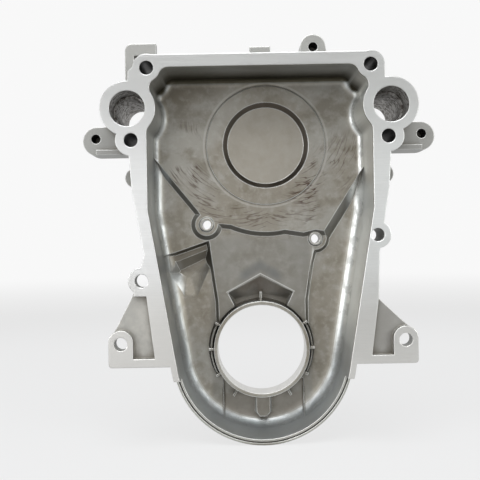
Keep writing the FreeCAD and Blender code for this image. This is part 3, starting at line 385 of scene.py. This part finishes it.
# %% [markdown]
# Where the metal was machined
#
# The rail, the ears' pads, the seal bore and the pump's faces were machined after casting, and everything
# else still has the skin of the die. The faces could be picked by hand and given a second material, but
# that choice would be lost with each new pack of the model, and one that follows from where a point lies
# isn't. The machined faces lie in one plane each and look straight at the block, or straight away from
# it, and the bore is known by its radius.

# %% Find the machined faces
PUMP_PLANE = 0.026
SAME_PLANE = 0.0004
SQUARE_ON = 0.96
ALL_ROUND_HOLE = 0.0004

aluminium = bpy.data.materials.new("cast_and_milled_aluminium")
tree = Tree(aluminium)
place = tree.node("ShaderNodeTexCoord").outputs["Object"]
x, y, z = tree.parts(place)
normal = tree.parts(tree.node("ShaderNodeNewGeometry").outputs["True Normal"])
to_block = tree.maths("LESS_THAN", normal[1], -SQUARE_ON)
from_block = tree.maths("GREATER_THAN", normal[1], SQUARE_ON)


def radius_about(across, centre_x, centre_z):
    """Distance from an axis along Y."""
    dx = tree.minus(across, centre_x)
    dz = tree.minus(z, centre_z)
    return tree.maths("SQRT", tree.total(tree.product(dx, dx), tree.product(dz, dz)))


def in_plane(plane, facing):
    """One on the faces that lie in a plane across Y and look squarely one way."""
    return tree.product(tree.maths("COMPARE", y, plane, SAME_PLANE), facing)


around_seal = radius_about(x, 0.0, 0.0)
bore_radius = mounts["seal_bore"]["dims"]["r_mm"] / MM_PER_METRE + ALL_ROUND_HOLE
bored = tree.product(tree.maths("LESS_THAN", around_seal, bore_radius), tree.inverse(to_block))
machined = tree.larger(in_plane(BLOCK_FACE_Y, to_block), bored, in_plane(PUMP_PLANE, from_block))
print("machined faces:", tree.count(), "nodes so far")

# %% [markdown]
# Holes and ports
#
# Most holes come in pairs, one on each side, and a pair is found with one distance, because the sideways
# place is taken without its sign. Centres and radii come from the model's mounts, so they aren't typed a
# second time. Only what doesn't face the block is inside a hole, so the rim round it stays bright.

# %% Find the holes and ports
beside = tree.maths("ABSOLUTE", x)


def in_hole(name, hole_x, radius_mm):
    """One on the wall of a hole, behind its machined rim."""
    distance = radius_about(beside, hole_x, mounts[name]["pos_m"][2])
    return tree.maths("LESS_THAN", distance, radius_mm / MM_PER_METRE + ALL_ROUND_HOLE)


crest = mounts["crest_bolt"]
shaded_hole = in_hole("crest_bolt", crest["pos_m"][0], crest["dims"]["r_mm"])
for name in ("top_bolts", "low_bolts", "lug_bolts"):
    dims = mounts[name]["dims"]
    in_pair = in_hole(name, dims["spacing_x_mm"] / 2 / MM_PER_METRE, dims["hole_r_mm"])
    shaded_hole = tree.larger(shaded_hole, in_pair)
shaded_hole = tree.product(shaded_hole, tree.inverse(to_block))
port = mounts["coolant_port_right"]
in_port = in_hole("coolant_port_right", port["pos_m"][0], port["dims"]["r_mm"])
in_port = tree.product(in_port, tree.inverse(machined))
print("holes and ports:", tree.count(), "nodes so far")

# %% [markdown]
# Floors and steps of the chamber
#
# Inside the chamber a point is told by its depth and by which way it faces. The side walls lean in
# towards the seal, so the distance from them is measured from a line that leans too. Sloped faces that
# are clear of the wall are the steps between the floors, and the ones at the wall are its rounds.

# %% Tell floors and steps apart
FLOOR_DEPTH = (0.002, 0.006)
FLOOR_FACING = (-0.80, -0.97)
INNER_FACING = (0.08, -0.04)
WALL_X = 0.079
WALL_BENDS_Z = 0.105
WALL_LEAN = 0.167
STEP_FACING = (0.45, 0.93)
STEP_DEPTH = (0.0068, 0.0075)
CLEAR_OF_WALL = (0.010, 0.014)
ABOVE_ROUND_END = (-0.026, -0.016)

inner_side = tree.rising(normal[1], *INNER_FACING)
level = tree.maths("ABSOLUTE", normal[1])
chamber_floor = tree.product(tree.rising(y, *FLOOR_DEPTH), tree.rising(normal[1], *FLOOR_FACING))
narrowing = tree.product(tree.larger(tree.minus(WALL_BENDS_Z, z), 0.0), WALL_LEAN)
from_wall = tree.minus(tree.minus(WALL_X, narrowing), beside)
steps = tree.product(tree.band(level, *STEP_FACING, soft=0.03), tree.rising(y, *STEP_DEPTH))
steps = tree.product(steps, tree.rising(from_wall, *CLEAR_OF_WALL))
steps = tree.product(steps, tree.rising(z, *ABOVE_ROUND_END), inner_side)
print("floors and steps:", tree.count(), "nodes so far")

# %% [markdown]
# Walls and outside
#
# The walls were polished in the die. The lugs and tabs beyond the rail start from the same finish and are
# then made duller, like all of the outside. What lies past the leaning line, above the top wall or round
# the lower end is the outside of the casting.

# %% Find the walls and the outside
WALL_FACING = (0.97, 0.80)
BEHIND_RAIL = (-0.0415, -0.038)
LUGS_BEYOND_X = (0.094, 0.098)
LUGS_ABOVE_Z = (0.213, 0.216)
TAB_BEYOND_X = (0.0880, 0.0885)
TAB_ABOVE_Z = (0.188, 0.190)
LUG_DEPTH = (-0.030, -0.026)
PAST_WALL = (-0.002, -0.004)
PAST_TOP_Z = (0.2125, 0.2135)
PAST_ROUND_END = (0.0605, 0.0625)
ROUND_END_BELOW = (0.010, -0.004)
STEEP = (0.6, 0.4)

bent_tab = tree.product(tree.rising(beside, *TAB_BEYOND_X), tree.rising(z, *TAB_ABOVE_Z))
lugs = tree.larger(tree.rising(beside, *LUGS_BEYOND_X), tree.rising(z, *LUGS_ABOVE_Z), bent_tab)
smooth_wall = tree.product(tree.rising(y, *BEHIND_RAIL), tree.rising(level, *WALL_FACING))
smooth_wall = tree.larger(smooth_wall, tree.product(lugs, tree.rising(y, *LUG_DEPTH)))
round_skin = tree.product(tree.rising(around_seal, *PAST_ROUND_END), tree.rising(z, *ROUND_END_BELOW))
round_skin = tree.product(round_skin, tree.rising(level, *STEEP))
outer_skin = tree.larger(tree.rising(from_wall, *PAST_WALL), tree.rising(z, *PAST_TOP_Z), round_skin)
print("walls and outside:", tree.count(), "nodes so far")

# %% [markdown]
# The cast floor
#
# On the flat floor the metal cooled last, and it is a warm, blotchy grey. A single noise looks too even,
# so three are laid over each other: broad clouds between a warm and a colder grey, brown stains, and
# fine pale flecks.

# %% Colour the floor
FLOOR_WARM = (0.262, 0.24, 0.20)
FLOOR_COLD = (0.335, 0.322, 0.288)
STAIN_BROWN = (0.175, 0.15, 0.11)
FLECK_GREY = (0.44, 0.43, 0.40)

broad = tree.noise(place, scale=13.0, detail=4.0, roughness=0.55)
blotch = tree.noise(place, scale=48.0, detail=5.0, roughness=0.62)
fine = tree.noise(place, scale=210.0, detail=4.0, roughness=0.6)
floor_tone = tree.blended(tree.rising(broad, start=0.38, end=0.60), FLOOR_WARM, FLOOR_COLD)
floor_tone = tree.painted(floor_tone, STAIN_BROWN, tree.rising(blotch, start=0.45, end=0.66), strength=0.52)
floor_tone = tree.painted(floor_tone, FLECK_GREY, tree.rising(fine, start=0.45, end=0.70), strength=0.30)
print("floor colours:", tree.count(), "nodes so far")

# %% [markdown]
# The walls and the outside
#
# Where the die was polished, the casting is a cold grey. The right wall and the round end are painted
# lighter, as painted light, where the lamps fall most strongly on them. The outside, most of which the
# camera doesn't see, is a darker grey like the lugs.

# %% Colour the walls and the outside
WALL_DARK = (0.40, 0.41, 0.405)
WALL_LIGHT = (0.52, 0.535, 0.535)
RIGHT_WALL_LIT = (0.86, 0.87, 0.85)
ROUND_END_LIT = (0.60, 0.625, 0.63)
OUTSIDE_DARK = (0.27, 0.265, 0.245)
OUTSIDE_LIGHT = (0.37, 0.37, 0.355)
LUG_GREY = (0.30, 0.296, 0.28)
RIGHT_HALF_X = (0.02, 0.05)
UP_FROM_ROUND_END = (-0.02, 0.04)
ALONG_WALL = (-0.003, 0.009)
ROUND_END_Z = (0.0, -0.03)

wall_tone = tree.blended(tree.rising(broad, start=0.35, end=0.65), WALL_DARK, WALL_LIGHT)
lit_right_wall = tree.product(tree.rising(x, *RIGHT_HALF_X), tree.rising(z, *UP_FROM_ROUND_END))
lit_right_wall = tree.product(lit_right_wall, tree.band(from_wall, *ALONG_WALL, soft=0.002))
# Painted light: the right wall is painted lighter where the light falls on it.
wall_tone = tree.painted(wall_tone, RIGHT_WALL_LIT, lit_right_wall, strength=0.9)
# Painted light: the walls of the round end, which face up to the upper lamp, are painted lighter.
wall_tone = tree.painted(wall_tone, ROUND_END_LIT, tree.rising(z, *ROUND_END_Z), strength=0.6)
cast_tone = tree.painted(floor_tone, wall_tone, smooth_wall)
outer_tone = tree.blended(tree.rising(blotch, start=0.38, end=0.62), OUTSIDE_DARK, OUTSIDE_LIGHT)
cast_tone = tree.painted(cast_tone, outer_tone, outer_skin, strength=0.75)
cast_tone = tree.painted(cast_tone, LUG_GREY, tree.product(lugs, to_block), strength=0.85)
print("wall and outside colours:", tree.count(), "nodes so far")

# %% [markdown]
# The disc, the steps and the column
#
# The disc on the camshaft pad is plainer than the floor. The steps between the floors are painted dark,
# as painted shade, because they face away from the light. The column between the camshaft and the seal
# is darker than the floor beside it. Above the pointed hollow it has a cold cloud, which follows the
# hollow's slanted edges, so the distance from those is worked out from their slope.

# %% Colour the disc, the steps and the column
CAM_X = 0.0056
CAM_Z = 0.1536
DISC_TOP_RADIUS = (0.028, 0.029)
COLUMN_BELOW_Z = (0.090, 0.080)
COLUMN_WITHIN_X = (0.040, 0.036)
HOLLOW_TOP_Z = 0.0563
HOLLOW_SLOPE = math.radians(28.3)
CLOUD_OVER_EDGE = (0.0015, 0.0085)
CLOUD_WITHIN_X = (0.020, 0.010)
DISC_GREY = (0.36, 0.335, 0.29)
STEP_SHADE = (0.13, 0.115, 0.09)
COLUMN_GREY = (0.18, 0.178, 0.165)
CLOUD_GREY = (0.14, 0.145, 0.145)

around_cam = radius_about(x, CAM_X, CAM_Z)
disc = tree.product(tree.inverse(tree.rising(around_cam, *DISC_TOP_RADIUS)), chamber_floor)
cast_tone = tree.painted(cast_tone, DISC_GREY, disc, strength=0.7)
# Painted shade: the steps are painted dark because they face away from the light.
cast_tone = tree.painted(cast_tone, STEP_SHADE, steps, strength=0.72)
column = tree.product(tree.rising(z, *COLUMN_BELOW_Z), tree.rising(beside, *COLUMN_WITHIN_X), chamber_floor)
cast_tone = tree.painted(cast_tone, COLUMN_GREY, column, strength=0.42)
over_edge = tree.product(tree.minus(z, HOLLOW_TOP_Z), math.cos(HOLLOW_SLOPE))
over_edge = tree.total(over_edge, tree.product(beside, math.sin(HOLLOW_SLOPE)))
cloud = tree.product(tree.band(over_edge, *CLOUD_OVER_EDGE, soft=0.003), tree.rising(beside, *CLOUD_WITHIN_X))
cloud = tree.product(cloud, column, tree.rising(broad, start=0.35, end=0.55, low=0.2, high=0.7))
cast_tone = tree.painted(cast_tone, CLOUD_GREY, cloud)
print("disc, steps and column:", tree.count(), "nodes so far")

# %% [markdown]
# The pocket below the seal
#
# This is a flat pocket with a darker floor, and its two long corners at the sides get painted shade. The
# occlusion that darkens every corner later on is too broad for them, so each is drawn as a thin dark line
# on both faces that meet there, by the distance from the pocket's side.

# %% Colour the pocket below the seal
LOW_POCKET_X = (-0.0294, 0.0316)
LOW_POCKET_BELOW_Z = (-0.033, -0.037)
CORNER_LINE = (0.0015, 0.0008)
CORNER_LINE_Z = (-0.049, -0.030)
LOW_POCKET_BROWN = (0.20, 0.175, 0.145)
CORNER_SHADE = (0.09, 0.08, 0.064)

low_pocket = tree.product(tree.band(x, *LOW_POCKET_X, soft=0.0004), tree.rising(z, *LOW_POCKET_BELOW_Z))
cast_tone = tree.painted(cast_tone, LOW_POCKET_BROWN, tree.product(low_pocket, chamber_floor), strength=0.45)
from_side = tree.maths("MINIMUM", *(tree.apart(x, side_x) for side_x in LOW_POCKET_X))
corner_shade_line = tree.product(tree.rising(from_side, *CORNER_LINE), tree.band(z, *CORNER_LINE_Z, soft=0.003))
corner_shade_line = tree.product(corner_shade_line, tree.rising(y, *FLOOR_DEPTH), inner_side)
# Painted shade: a thin dark line along each long corner of the pocket.
cast_tone = tree.painted(cast_tone, CORNER_SHADE, corner_shade_line, strength=0.85)
print("pocket below the seal:", tree.count(), "nodes so far")

# %% [markdown]
# The column's right edge
#
# On the right the column ends in a small round that catches the light as a thin line. A lamp would have to
# stand just so to draw it, so it is painted. The edge leans a little outwards as it rises, and the line is
# kept beside it by measuring from a leaning edge too.

# %% Draw the light line on the column
COLUMN_WAIST_X = 0.0338
COLUMN_WAIST_Z = 0.036
COLUMN_LEAN = 0.105
LINE_OUT_FROM_EDGE = (0.0020, 0.0030)
LINE_Z = (0.036, 0.076)
LINE_GREY = (0.66, 0.66, 0.63)

column_edge_x = tree.total(COLUMN_WAIST_X, tree.product(tree.minus(z, COLUMN_WAIST_Z), COLUMN_LEAN))
column_line = tree.band(tree.minus(x, column_edge_x), *LINE_OUT_FROM_EDGE, soft=0.0005)
column_line = tree.product(column_line, tree.band(z, *LINE_Z, soft=0.004), inner_side)
cast_tone = tree.painted(cast_tone, LINE_GREY, column_line, strength=0.65)
print("column's line:", tree.count(), "nodes so far")

# %% [markdown]
# The deepest places
#
# The pointed hollow in the column and the faceted pocket on the left lie below the column's floor. They
# are painted dark brown as painted shade, most of all in their upper part, where their faces slope away
# from the light. Both are found as what is deeper than that floor, within a plain box.

# %% Colour the hollow and the faceted pocket
BELOW_COLUMN_FLOOR = (0.0106, 0.0112)
HOLLOW_WITHIN_X = (0.0265, 0.0260)
HOLLOW_Z = (0.030, 0.0572)
HOLLOW_DARKENS_Z = (0.036, 0.050)
FACETS_X = (-0.0695, -0.0375)
FACETS_Z = (0.058, 0.0835)
FACETS_DARKEN_Z = (0.060, 0.078)
HOLLOW_SHADE = (0.12, 0.10, 0.085)
FACETS_SHADE = (0.14, 0.125, 0.10)

deep = tree.product(tree.rising(y, *BELOW_COLUMN_FLOOR), inner_side)
hollow = tree.product(deep, tree.rising(beside, *HOLLOW_WITHIN_X), tree.band(z, *HOLLOW_Z, soft=0.0004))
hollow = tree.product(hollow, tree.rising(z, *HOLLOW_DARKENS_Z, low=0.35, high=0.92))
# Painted shade: the hollow is painted dark brown, darkest in its upper part.
cast_tone = tree.painted(cast_tone, HOLLOW_SHADE, hollow)
facets = tree.product(deep, tree.band(x, *FACETS_X, soft=0.0004), tree.band(z, *FACETS_Z, soft=0.002))
facets = tree.product(facets, tree.rising(z, *FACETS_DARKEN_Z, low=0.55, high=0.95))
# Painted shade: the faceted pocket is painted dark brown, darkest in its upper part.
cast_tone = tree.painted(cast_tone, FACETS_SHADE, facets)
print("hollow and faceted pocket:", tree.count(), "nodes so far")

# %% [markdown]
# The pan's rim and the fillets
#
# The rim that lies on the oil pan is left as cast, in a plain grey. The rounds at the foot of the walls
# are bright lines of mirrored light. Real ones are broken by small rough places, so dark spots from a
# noise are laid over them, and the same spots are rougher later on.

# %% Colour the pan's rim and the fillets
NEAR_BLOCK_Y = (0.0, -0.003)
BELOW_CRANKSHAFT_Z = (0.004, -0.004)
BETWEEN_EARS_X = (0.070, 0.066)
FILLET_FACING = (0.22, 0.90)
FILLET_DEPTH = (-0.012, 0.0)
PAN_RIM_GREY = (0.355, 0.36, 0.325)
SPOT_GREY = (0.23, 0.225, 0.21)

pan_rim = tree.product(to_block, tree.rising(y, *NEAR_BLOCK_Y), tree.rising(z, *BELOW_CRANKSHAFT_Z))
pan_rim = tree.product(pan_rim, tree.rising(beside, *BETWEEN_EARS_X))
cast_tone = tree.painted(cast_tone, PAN_RIM_GREY, pan_rim, strength=0.8)
fillets = tree.product(tree.band(level, *FILLET_FACING, soft=0.08), tree.rising(y, *FILLET_DEPTH), inner_side)
spots = tree.noise(place, scale=95.0, detail=4.0, roughness=0.65)
fillet_spots = tree.product(fillets, tree.rising(spots, start=0.46, end=0.60))
cast_tone = tree.painted(cast_tone, SPOT_GREY, fillet_spots, strength=0.42)
print("rim and fillets:", tree.count(), "nodes so far")

# %% [markdown]
# The top wall and the ears
#
# The top wall faces down. Hardly any light reaches its foot, where it is a dark olive, and because the
# chamber in front of it is pale and sends light back, it is painted darker too. The two lower ears have
# thinner panels beside their machined pads, smudged by the casting, and the right one is the darker.

# %% Colour the top wall and the ears
FACING_DOWN = (-0.22, -0.62)
TOP_WALL_BEHIND_RAIL = (-0.041, -0.035)
TOP_WALL_Z = (0.184, 0.192)
TOP_WALL_WITHIN_X = (0.094, 0.088)
TOP_WALL_TO_FOOT = (-0.030, 0.000)
PANEL_PLANE = -0.037
EAR_TO_EAR_X = (-0.09, 0.09)
TOP_WALL_OLIVE = (0.055, 0.049, 0.032)
PANEL_LEFT = (0.50, 0.485, 0.45)
PANEL_RIGHT = (0.31, 0.30, 0.28)

top_wall = tree.product(tree.rising(normal[2], *FACING_DOWN), tree.rising(y, *TOP_WALL_BEHIND_RAIL))
top_wall = tree.product(top_wall, tree.rising(z, *TOP_WALL_Z, low=0.35))
top_wall = tree.product(top_wall, tree.rising(beside, *TOP_WALL_WITHIN_X))
top_wall = tree.product(top_wall, tree.rising(y, *TOP_WALL_TO_FOOT, low=0.30))
cast_tone = tree.painted(cast_tone, TOP_WALL_OLIVE, top_wall)
panel_tone = tree.blended(tree.rising(x, *EAR_TO_EAR_X), PANEL_LEFT, PANEL_RIGHT)
smudged = tree.rising(blotch, start=0.40, end=0.62, low=0.85, high=0.35)
cast_tone = tree.painted(cast_tone, panel_tone, tree.product(in_plane(PANEL_PLANE, to_block), smudged))
print("top wall and ears:", tree.count(), "nodes so far")

# %% [markdown]
# The flow marks
#
# Round the camshaft pad the floor shows brown flow marks: short dark strokes where the molten metal ran
# round the pad and inwards. Each could be a drawn curve, but there are too many, and no two are alike.
# They come from a noise that isn't read at the place itself, but at the distance from the camshaft and
# the angle round it, so its lines bend with the circle. Only the thin lines where this noise passes one
# value are kept.

# %% Make the strokes
LINES_PER_METRE = 330.0
LINES_TURN_IN = 8.0
LINES_ROUND = 2.6
LINES_ACROSS = 22.0
LINE_VALUE = 0.53

beside_cam = tree.minus(x, CAM_X)
below_cam = tree.minus(CAM_Z, z)
from_below = tree.maths("ARCTAN2", tree.maths("ABSOLUTE", beside_cam), below_cam)
inwards = tree.minus(tree.product(around_cam, LINES_PER_METRE), tree.product(from_below, LINES_TURN_IN))
read_at = tree.vector(inwards, tree.product(from_below, LINES_ROUND), tree.product(x, LINES_ACROSS))
flow = tree.noise(read_at, scale=1.0, detail=2.0)
strokes = tree.inverse(tree.rising(tree.apart(flow, LINE_VALUE), start=0.006, end=0.050))
print("strokes:", tree.count(), "nodes so far")

# %% [markdown]
# Where the strokes lie
#
# The photograph has them in three places: across the pad's edge on the lower right, faintly round its
# lower half, and to its left. A second, broader noise breaks them up into patches.

# %% Colour the flow marks
LOWER_RIGHT_ANGLE = (-1.2, -0.1)
ACROSS_PAD_EDGE = (0.036, 0.054)
ROUND_PAD = (0.049, 0.070)
ROUND_PAD_STRENGTH = 0.62
LOWER_HALF = (-0.018, 0.010)
LEFT_OF_PAD_X = (-0.068, -0.044)
LEFT_OF_PAD_Z = (0.126, 0.168)
FLOW_BROWN = (0.075, 0.045, 0.034)

patches = tree.rising(tree.noise(place, scale=34.0, detail=2.0), start=0.40, end=0.52)
angle = tree.maths("ARCTAN2", tree.minus(z, CAM_Z), beside_cam)
lower_right = tree.band(angle, *LOWER_RIGHT_ANGLE, soft=0.25)
lower_right = tree.product(lower_right, tree.band(around_cam, *ACROSS_PAD_EDGE, soft=0.004))
round_pad = tree.product(tree.band(around_cam, *ROUND_PAD, soft=0.006), ROUND_PAD_STRENGTH)
below_pad = tree.product(tree.larger(lower_right, round_pad), tree.rising(below_cam, *LOWER_HALF))
left_of_pad = tree.product(tree.band(x, *LEFT_OF_PAD_X, soft=0.005), tree.band(z, *LEFT_OF_PAD_Z, soft=0.008))
flow_marks = tree.product(strokes, patches, tree.larger(below_pad, left_of_pad), chamber_floor)
cast_tone = tree.painted(cast_tone, FLOW_BROWN, flow_marks, strength=0.95)
print("flow marks:", tree.count(), "nodes so far")

# %% [markdown]
# The pad's edge and the disc's flank
#
# The pad's edge is a shallow step, drawn as a line of painted shade with a painted highlight just
# outside it. The disc inside stands in a narrow ring whose flank is nearly black.

# %% Draw the pad's edge and the disc's flank
PAD_RADIUS = 0.045
PAD_LINE = (PAD_RADIUS - 0.0006, PAD_RADIUS + 0.0004)
PAD_LIGHT_LINE = (PAD_RADIUS + 0.0012, PAD_RADIUS + 0.0024)
DISC_RADIUS = 0.0325
DISC_FLANK = 0.0037
FLANK_STARTS = (0.005, 0.0062)
FLANK_ENDS = (0.010, 0.012)
PAD_EDGE_SHADE = (0.15, 0.135, 0.11)
PAD_EDGE_HIGHLIGHT = (0.50, 0.49, 0.455)
FLANK_BLACK = (0.07, 0.058, 0.046)

# Painted shade: the pad's shallow step is drawn as a dark line.
pad_edge_shade = tree.product(tree.band(around_cam, *PAD_LINE, soft=0.0005), chamber_floor)
pad_edge_shade = tree.product(pad_edge_shade, tree.rising(blotch, start=0.3, end=0.6, low=0.35, high=0.75))
cast_tone = tree.painted(cast_tone, PAD_EDGE_SHADE, pad_edge_shade)
# Painted highlight: a lighter line just outside the pad's step.
pad_edge_highlight = tree.product(tree.band(around_cam, *PAD_LIGHT_LINE, soft=0.0006), chamber_floor)
cast_tone = tree.painted(cast_tone, PAD_EDGE_HIGHLIGHT, pad_edge_highlight, strength=0.40)
flank = tree.band(around_cam, DISC_RADIUS - DISC_FLANK, DISC_RADIUS, soft=0.0004)
flank = tree.product(flank, tree.rising(y, *FLANK_STARTS), tree.inverse(tree.rising(y, *FLANK_ENDS)))
cast_tone = tree.painted(cast_tone, FLANK_BLACK, flank, strength=0.95)
print("pad and disc:", tree.count(), "nodes so far")

# %% [markdown]
# Corners, ports and holes
#
# Ambient occlusion says how closed in a point is, so it finds every inner corner, and these get painted
# shade. The coolant ports are rough inside and black in their pits. The bolt holes are painted nearly
# black, as painted shade.

# %% Colour corners, ports and holes
CORNER_REACH = 0.007
OCCLUSION_SHADE = (0.15, 0.135, 0.11)
PIT_BLACK = (0.10, 0.085, 0.075)
PORT_GREY = (0.50, 0.49, 0.47)
HOLE_SHADE = (0.085, 0.083, 0.08)

corners = tree.node("ShaderNodeAmbientOcclusion", samples=8)
corners.inputs["Distance"].default_value = CORNER_REACH
openness = corners.outputs["AO"]
# Painted shade: inner corners are darkened by how closed in they are.
cast_tone = tree.painted(cast_tone, OCCLUSION_SHADE, tree.rising(openness, start=0.85, end=0.40), strength=0.75)
pits = tree.noise(place, scale=420.0, detail=4.0, roughness=0.65)
port_tone = tree.blended(tree.rising(pits, start=0.38, end=0.62), PIT_BLACK, PORT_GREY)
cast_tone = tree.painted(cast_tone, port_tone, in_port)
# Painted shade: the walls of the bolt holes are painted nearly black.
cast_tone = tree.painted(cast_tone, HOLE_SHADE, shaded_hole)
print("corners, ports and holes:", tree.count(), "nodes so far")

# %% [markdown]
# The machined faces
#
# Machined metal is brighter than the cast skin, and a milling cutter leaves faint strokes across it. They
# come from a noise that is squeezed much more one way than the other and turned a little. A picture of
# milled metal would do as well, but a noise needs no file and never repeats. The rail is also painted
# with light and shade: brighter to the right, and darkest along the top.

# %% Colour the machined faces
RAIL_LEFT = (0.645, 0.645, 0.64)
RAIL_RIGHT_LIT = (0.78, 0.79, 0.775)
RAIL_TOP_SHADE = (0.43, 0.43, 0.418)
RAIL_LOW = (0.60, 0.585, 0.555)
CUTTER_GREY = (0.50, 0.50, 0.49)
SMUDGE_GREY = (0.48, 0.47, 0.445)
RAIL_ACROSS_X = (-0.10, 0.10)
RAIL_TO_TOP_Z = (0.11, 0.20)
RAIL_TO_FOOT_Z = (0.07, 0.02)
CUTTER_STRETCH = (60.0, 60.0, 1500.0)
CUTTER_TURN = math.radians(12)

cutter = tree.noise(tree.stretched(place, CUTTER_STRETCH, CUTTER_TURN), scale=1.0, detail=3.0, roughness=0.6)
# Painted light and shade: the rail is painted brighter to the right and darker along the top.
rail_tone = tree.blended(tree.rising(x, *RAIL_ACROSS_X), RAIL_LEFT, RAIL_RIGHT_LIT)
rail_tone = tree.painted(rail_tone, RAIL_TOP_SHADE, tree.rising(z, *RAIL_TO_TOP_Z), strength=0.8)
rail_tone = tree.painted(rail_tone, RAIL_LOW, tree.rising(z, *RAIL_TO_FOOT_Z), strength=0.75)
rail_tone = tree.painted(rail_tone, CUTTER_GREY, tree.rising(cutter, start=0.35, end=0.65), strength=0.12)
rail_tone = tree.painted(rail_tone, SMUDGE_GREY, tree.rising(blotch, start=0.50, end=0.75), strength=0.22)
tone = tree.painted(cast_tone, rail_tone, machined)
print("machined colours:", tree.count(), "nodes so far")

# %% [markdown]
# Painted edge highlights
#
# Every outer edge gets a painted highlight. The bevel node rounds the shading of edges without changing
# the shape, so where its normal differs from the surface's own there is an edge, and where the place is
# open enough it is an outer one. Machined faces are bright already, so the change is small on them. The
# hollow's two slanted edges lie deep in the chamber, so their highlights are drawn apart, by the distance
# that was worked out for the cloud above them.

# %% Paint highlights on the outer edges
EDGE_RADIUS = 0.0010
HOLLOW_EDGE = (-0.0001, 0.0004)
HOLLOW_EDGE_WITHIN_X = (0.0264, 0.0258)
HOLLOW_EDGE_ABOVE_Z = (0.038, 0.041)
HOLLOW_EDGE_DEPTH = (0.0095, 0.0100)
HOLLOW_EDGE_STRENGTH = 0.75
EDGE_HIGHLIGHT = (0.70, 0.70, 0.68)

round_edges = tree.node("ShaderNodeBevel", samples=8)
round_edges.inputs["Radius"].default_value = EDGE_RADIUS
agreement = tree.node("ShaderNodeVectorMath", operation="DOT_PRODUCT")
tree.feed(round_edges.outputs[0], agreement.inputs[0])
tree.feed(tree.node("ShaderNodeNewGeometry").outputs["Normal"], agreement.inputs[1])
turned = tree.rising(agreement.outputs["Value"], start=0.995, end=0.955)
highlit = tree.product(turned, tree.rising(openness, start=0.58, end=0.84))
highlit = tree.product(highlit, tree.rising(machined, start=0.0, end=1.0, low=0.8, high=0.1))
hollow_edge_highlight = tree.band(over_edge, *HOLLOW_EDGE, soft=0.0003)
hollow_edge_highlight = tree.product(hollow_edge_highlight, tree.rising(beside, *HOLLOW_EDGE_WITHIN_X))
hollow_edge_highlight = tree.product(hollow_edge_highlight, tree.rising(z, *HOLLOW_EDGE_ABOVE_Z))
hollow_edge_highlight = tree.product(hollow_edge_highlight, tree.rising(y, *HOLLOW_EDGE_DEPTH), inner_side)
highlit = tree.larger(highlit, tree.product(hollow_edge_highlight, HOLLOW_EDGE_STRENGTH))
# Painted highlight: outer edges and the hollow's slanted edges are painted bright.
tone = tree.painted(tone, EDGE_HIGHLIGHT, highlit)
print("worn edges:", tree.count(), "nodes so far")

# %% [markdown]
# How sharply the metal mirrors
#
# Roughness follows the finishes: machined faces and polished walls mirror most sharply, then the floor,
# and the outside is the dullest. Each varies a little, with the blotches or the cutter's strokes, because
# an even roughness looks like plastic.

# %% Set the roughness
NOISE_SPREAD = (0.3, 0.7)
FLOOR_ROUGHNESS = (0.44, 0.56)
WALL_ROUGHNESS = (0.30, 0.40)
OUTSIDE_ROUGHNESS = (0.46, 0.60)
MACHINED_ROUGHNESS = (0.32, 0.40)
SPOT_ROUGHNESS = (0.55, 0.55, 0.55)

floor_rough = tree.rising(blotch, *NOISE_SPREAD, *FLOOR_ROUGHNESS)
wall_rough = tree.rising(blotch, *NOISE_SPREAD, *WALL_ROUGHNESS)
outer_rough = tree.rising(blotch, *NOISE_SPREAD, *OUTSIDE_ROUGHNESS)
machined_rough = tree.rising(cutter, *NOISE_SPREAD, *MACHINED_ROUGHNESS)
rough = tree.blended(smooth_wall, floor_rough, wall_rough)
rough = tree.painted(rough, SPOT_ROUGHNESS, fillet_spots, strength=0.8)
rough = tree.painted(rough, outer_rough, outer_skin)
rough = tree.painted(rough, machined_rough, machined)
print("roughness:", tree.count(), "nodes so far")

# %% [markdown]
# Grain and dents
#
# The cast skin has a fine grain and shallow dents, and the ports are deeply pitted. They are too small
# for the mesh, so the bump node bends the shading instead, on top of the rounded edges. The heights are
# in metres, and the node's strength softens them a little.

# %% Add grain and dents
GRAIN_HEIGHT = 0.00006
DENT_HEIGHT = 0.00028
PIT_HEIGHT = 0.0006
BUMP_STRENGTH = 0.6
HEIGHTS_IN_METRES = 1.0

grain = tree.noise(place, scale=900.0, detail=3.0, roughness=0.6)
heights = tree.total(tree.product(grain, GRAIN_HEIGHT), tree.product(blotch, DENT_HEIGHT))
heights = tree.total(heights, tree.product(pits, in_port, PIT_HEIGHT))
bump = tree.node("ShaderNodeBump")
bump.inputs["Strength"].default_value = BUMP_STRENGTH
bump.inputs["Distance"].default_value = HEIGHTS_IN_METRES
tree.feed(tree.product(heights, tree.inverse(machined)), bump.inputs["Height"])
tree.feed(round_edges.outputs[0], bump.inputs["Normal"])
print("grain and dents:", tree.count(), "nodes so far")

# %% [markdown]
# The finished metal
#
# One Principled shader takes all of it. A little less than fully metallic stands for the thin grey film
# that old aluminium has, which scatters a little of the light where bare metal would mirror it all.

# %% Join everything into one metal
METALLIC_UNDER_FILM = 0.85

metal = tree.node("ShaderNodeBsdfPrincipled")
metal.inputs["Metallic"].default_value = METALLIC_UNDER_FILM
tree.feed(tone, metal.inputs["Base Color"])
tree.feed(rough, metal.inputs["Roughness"])
tree.feed(bump.outputs[0], metal.inputs["Normal"])
tree.feed(metal.outputs[0], tree.node("ShaderNodeOutputMaterial").inputs["Surface"])

casting_mesh.materials.clear()
casting_mesh.materials.append(aluminium)
print("aluminium:", tree.count(), "nodes")

# %% [markdown]
# Hand over
# The end
# Nothing more is done here; the packed box was printed at the start. The finished piece has to fit
# the packed box.
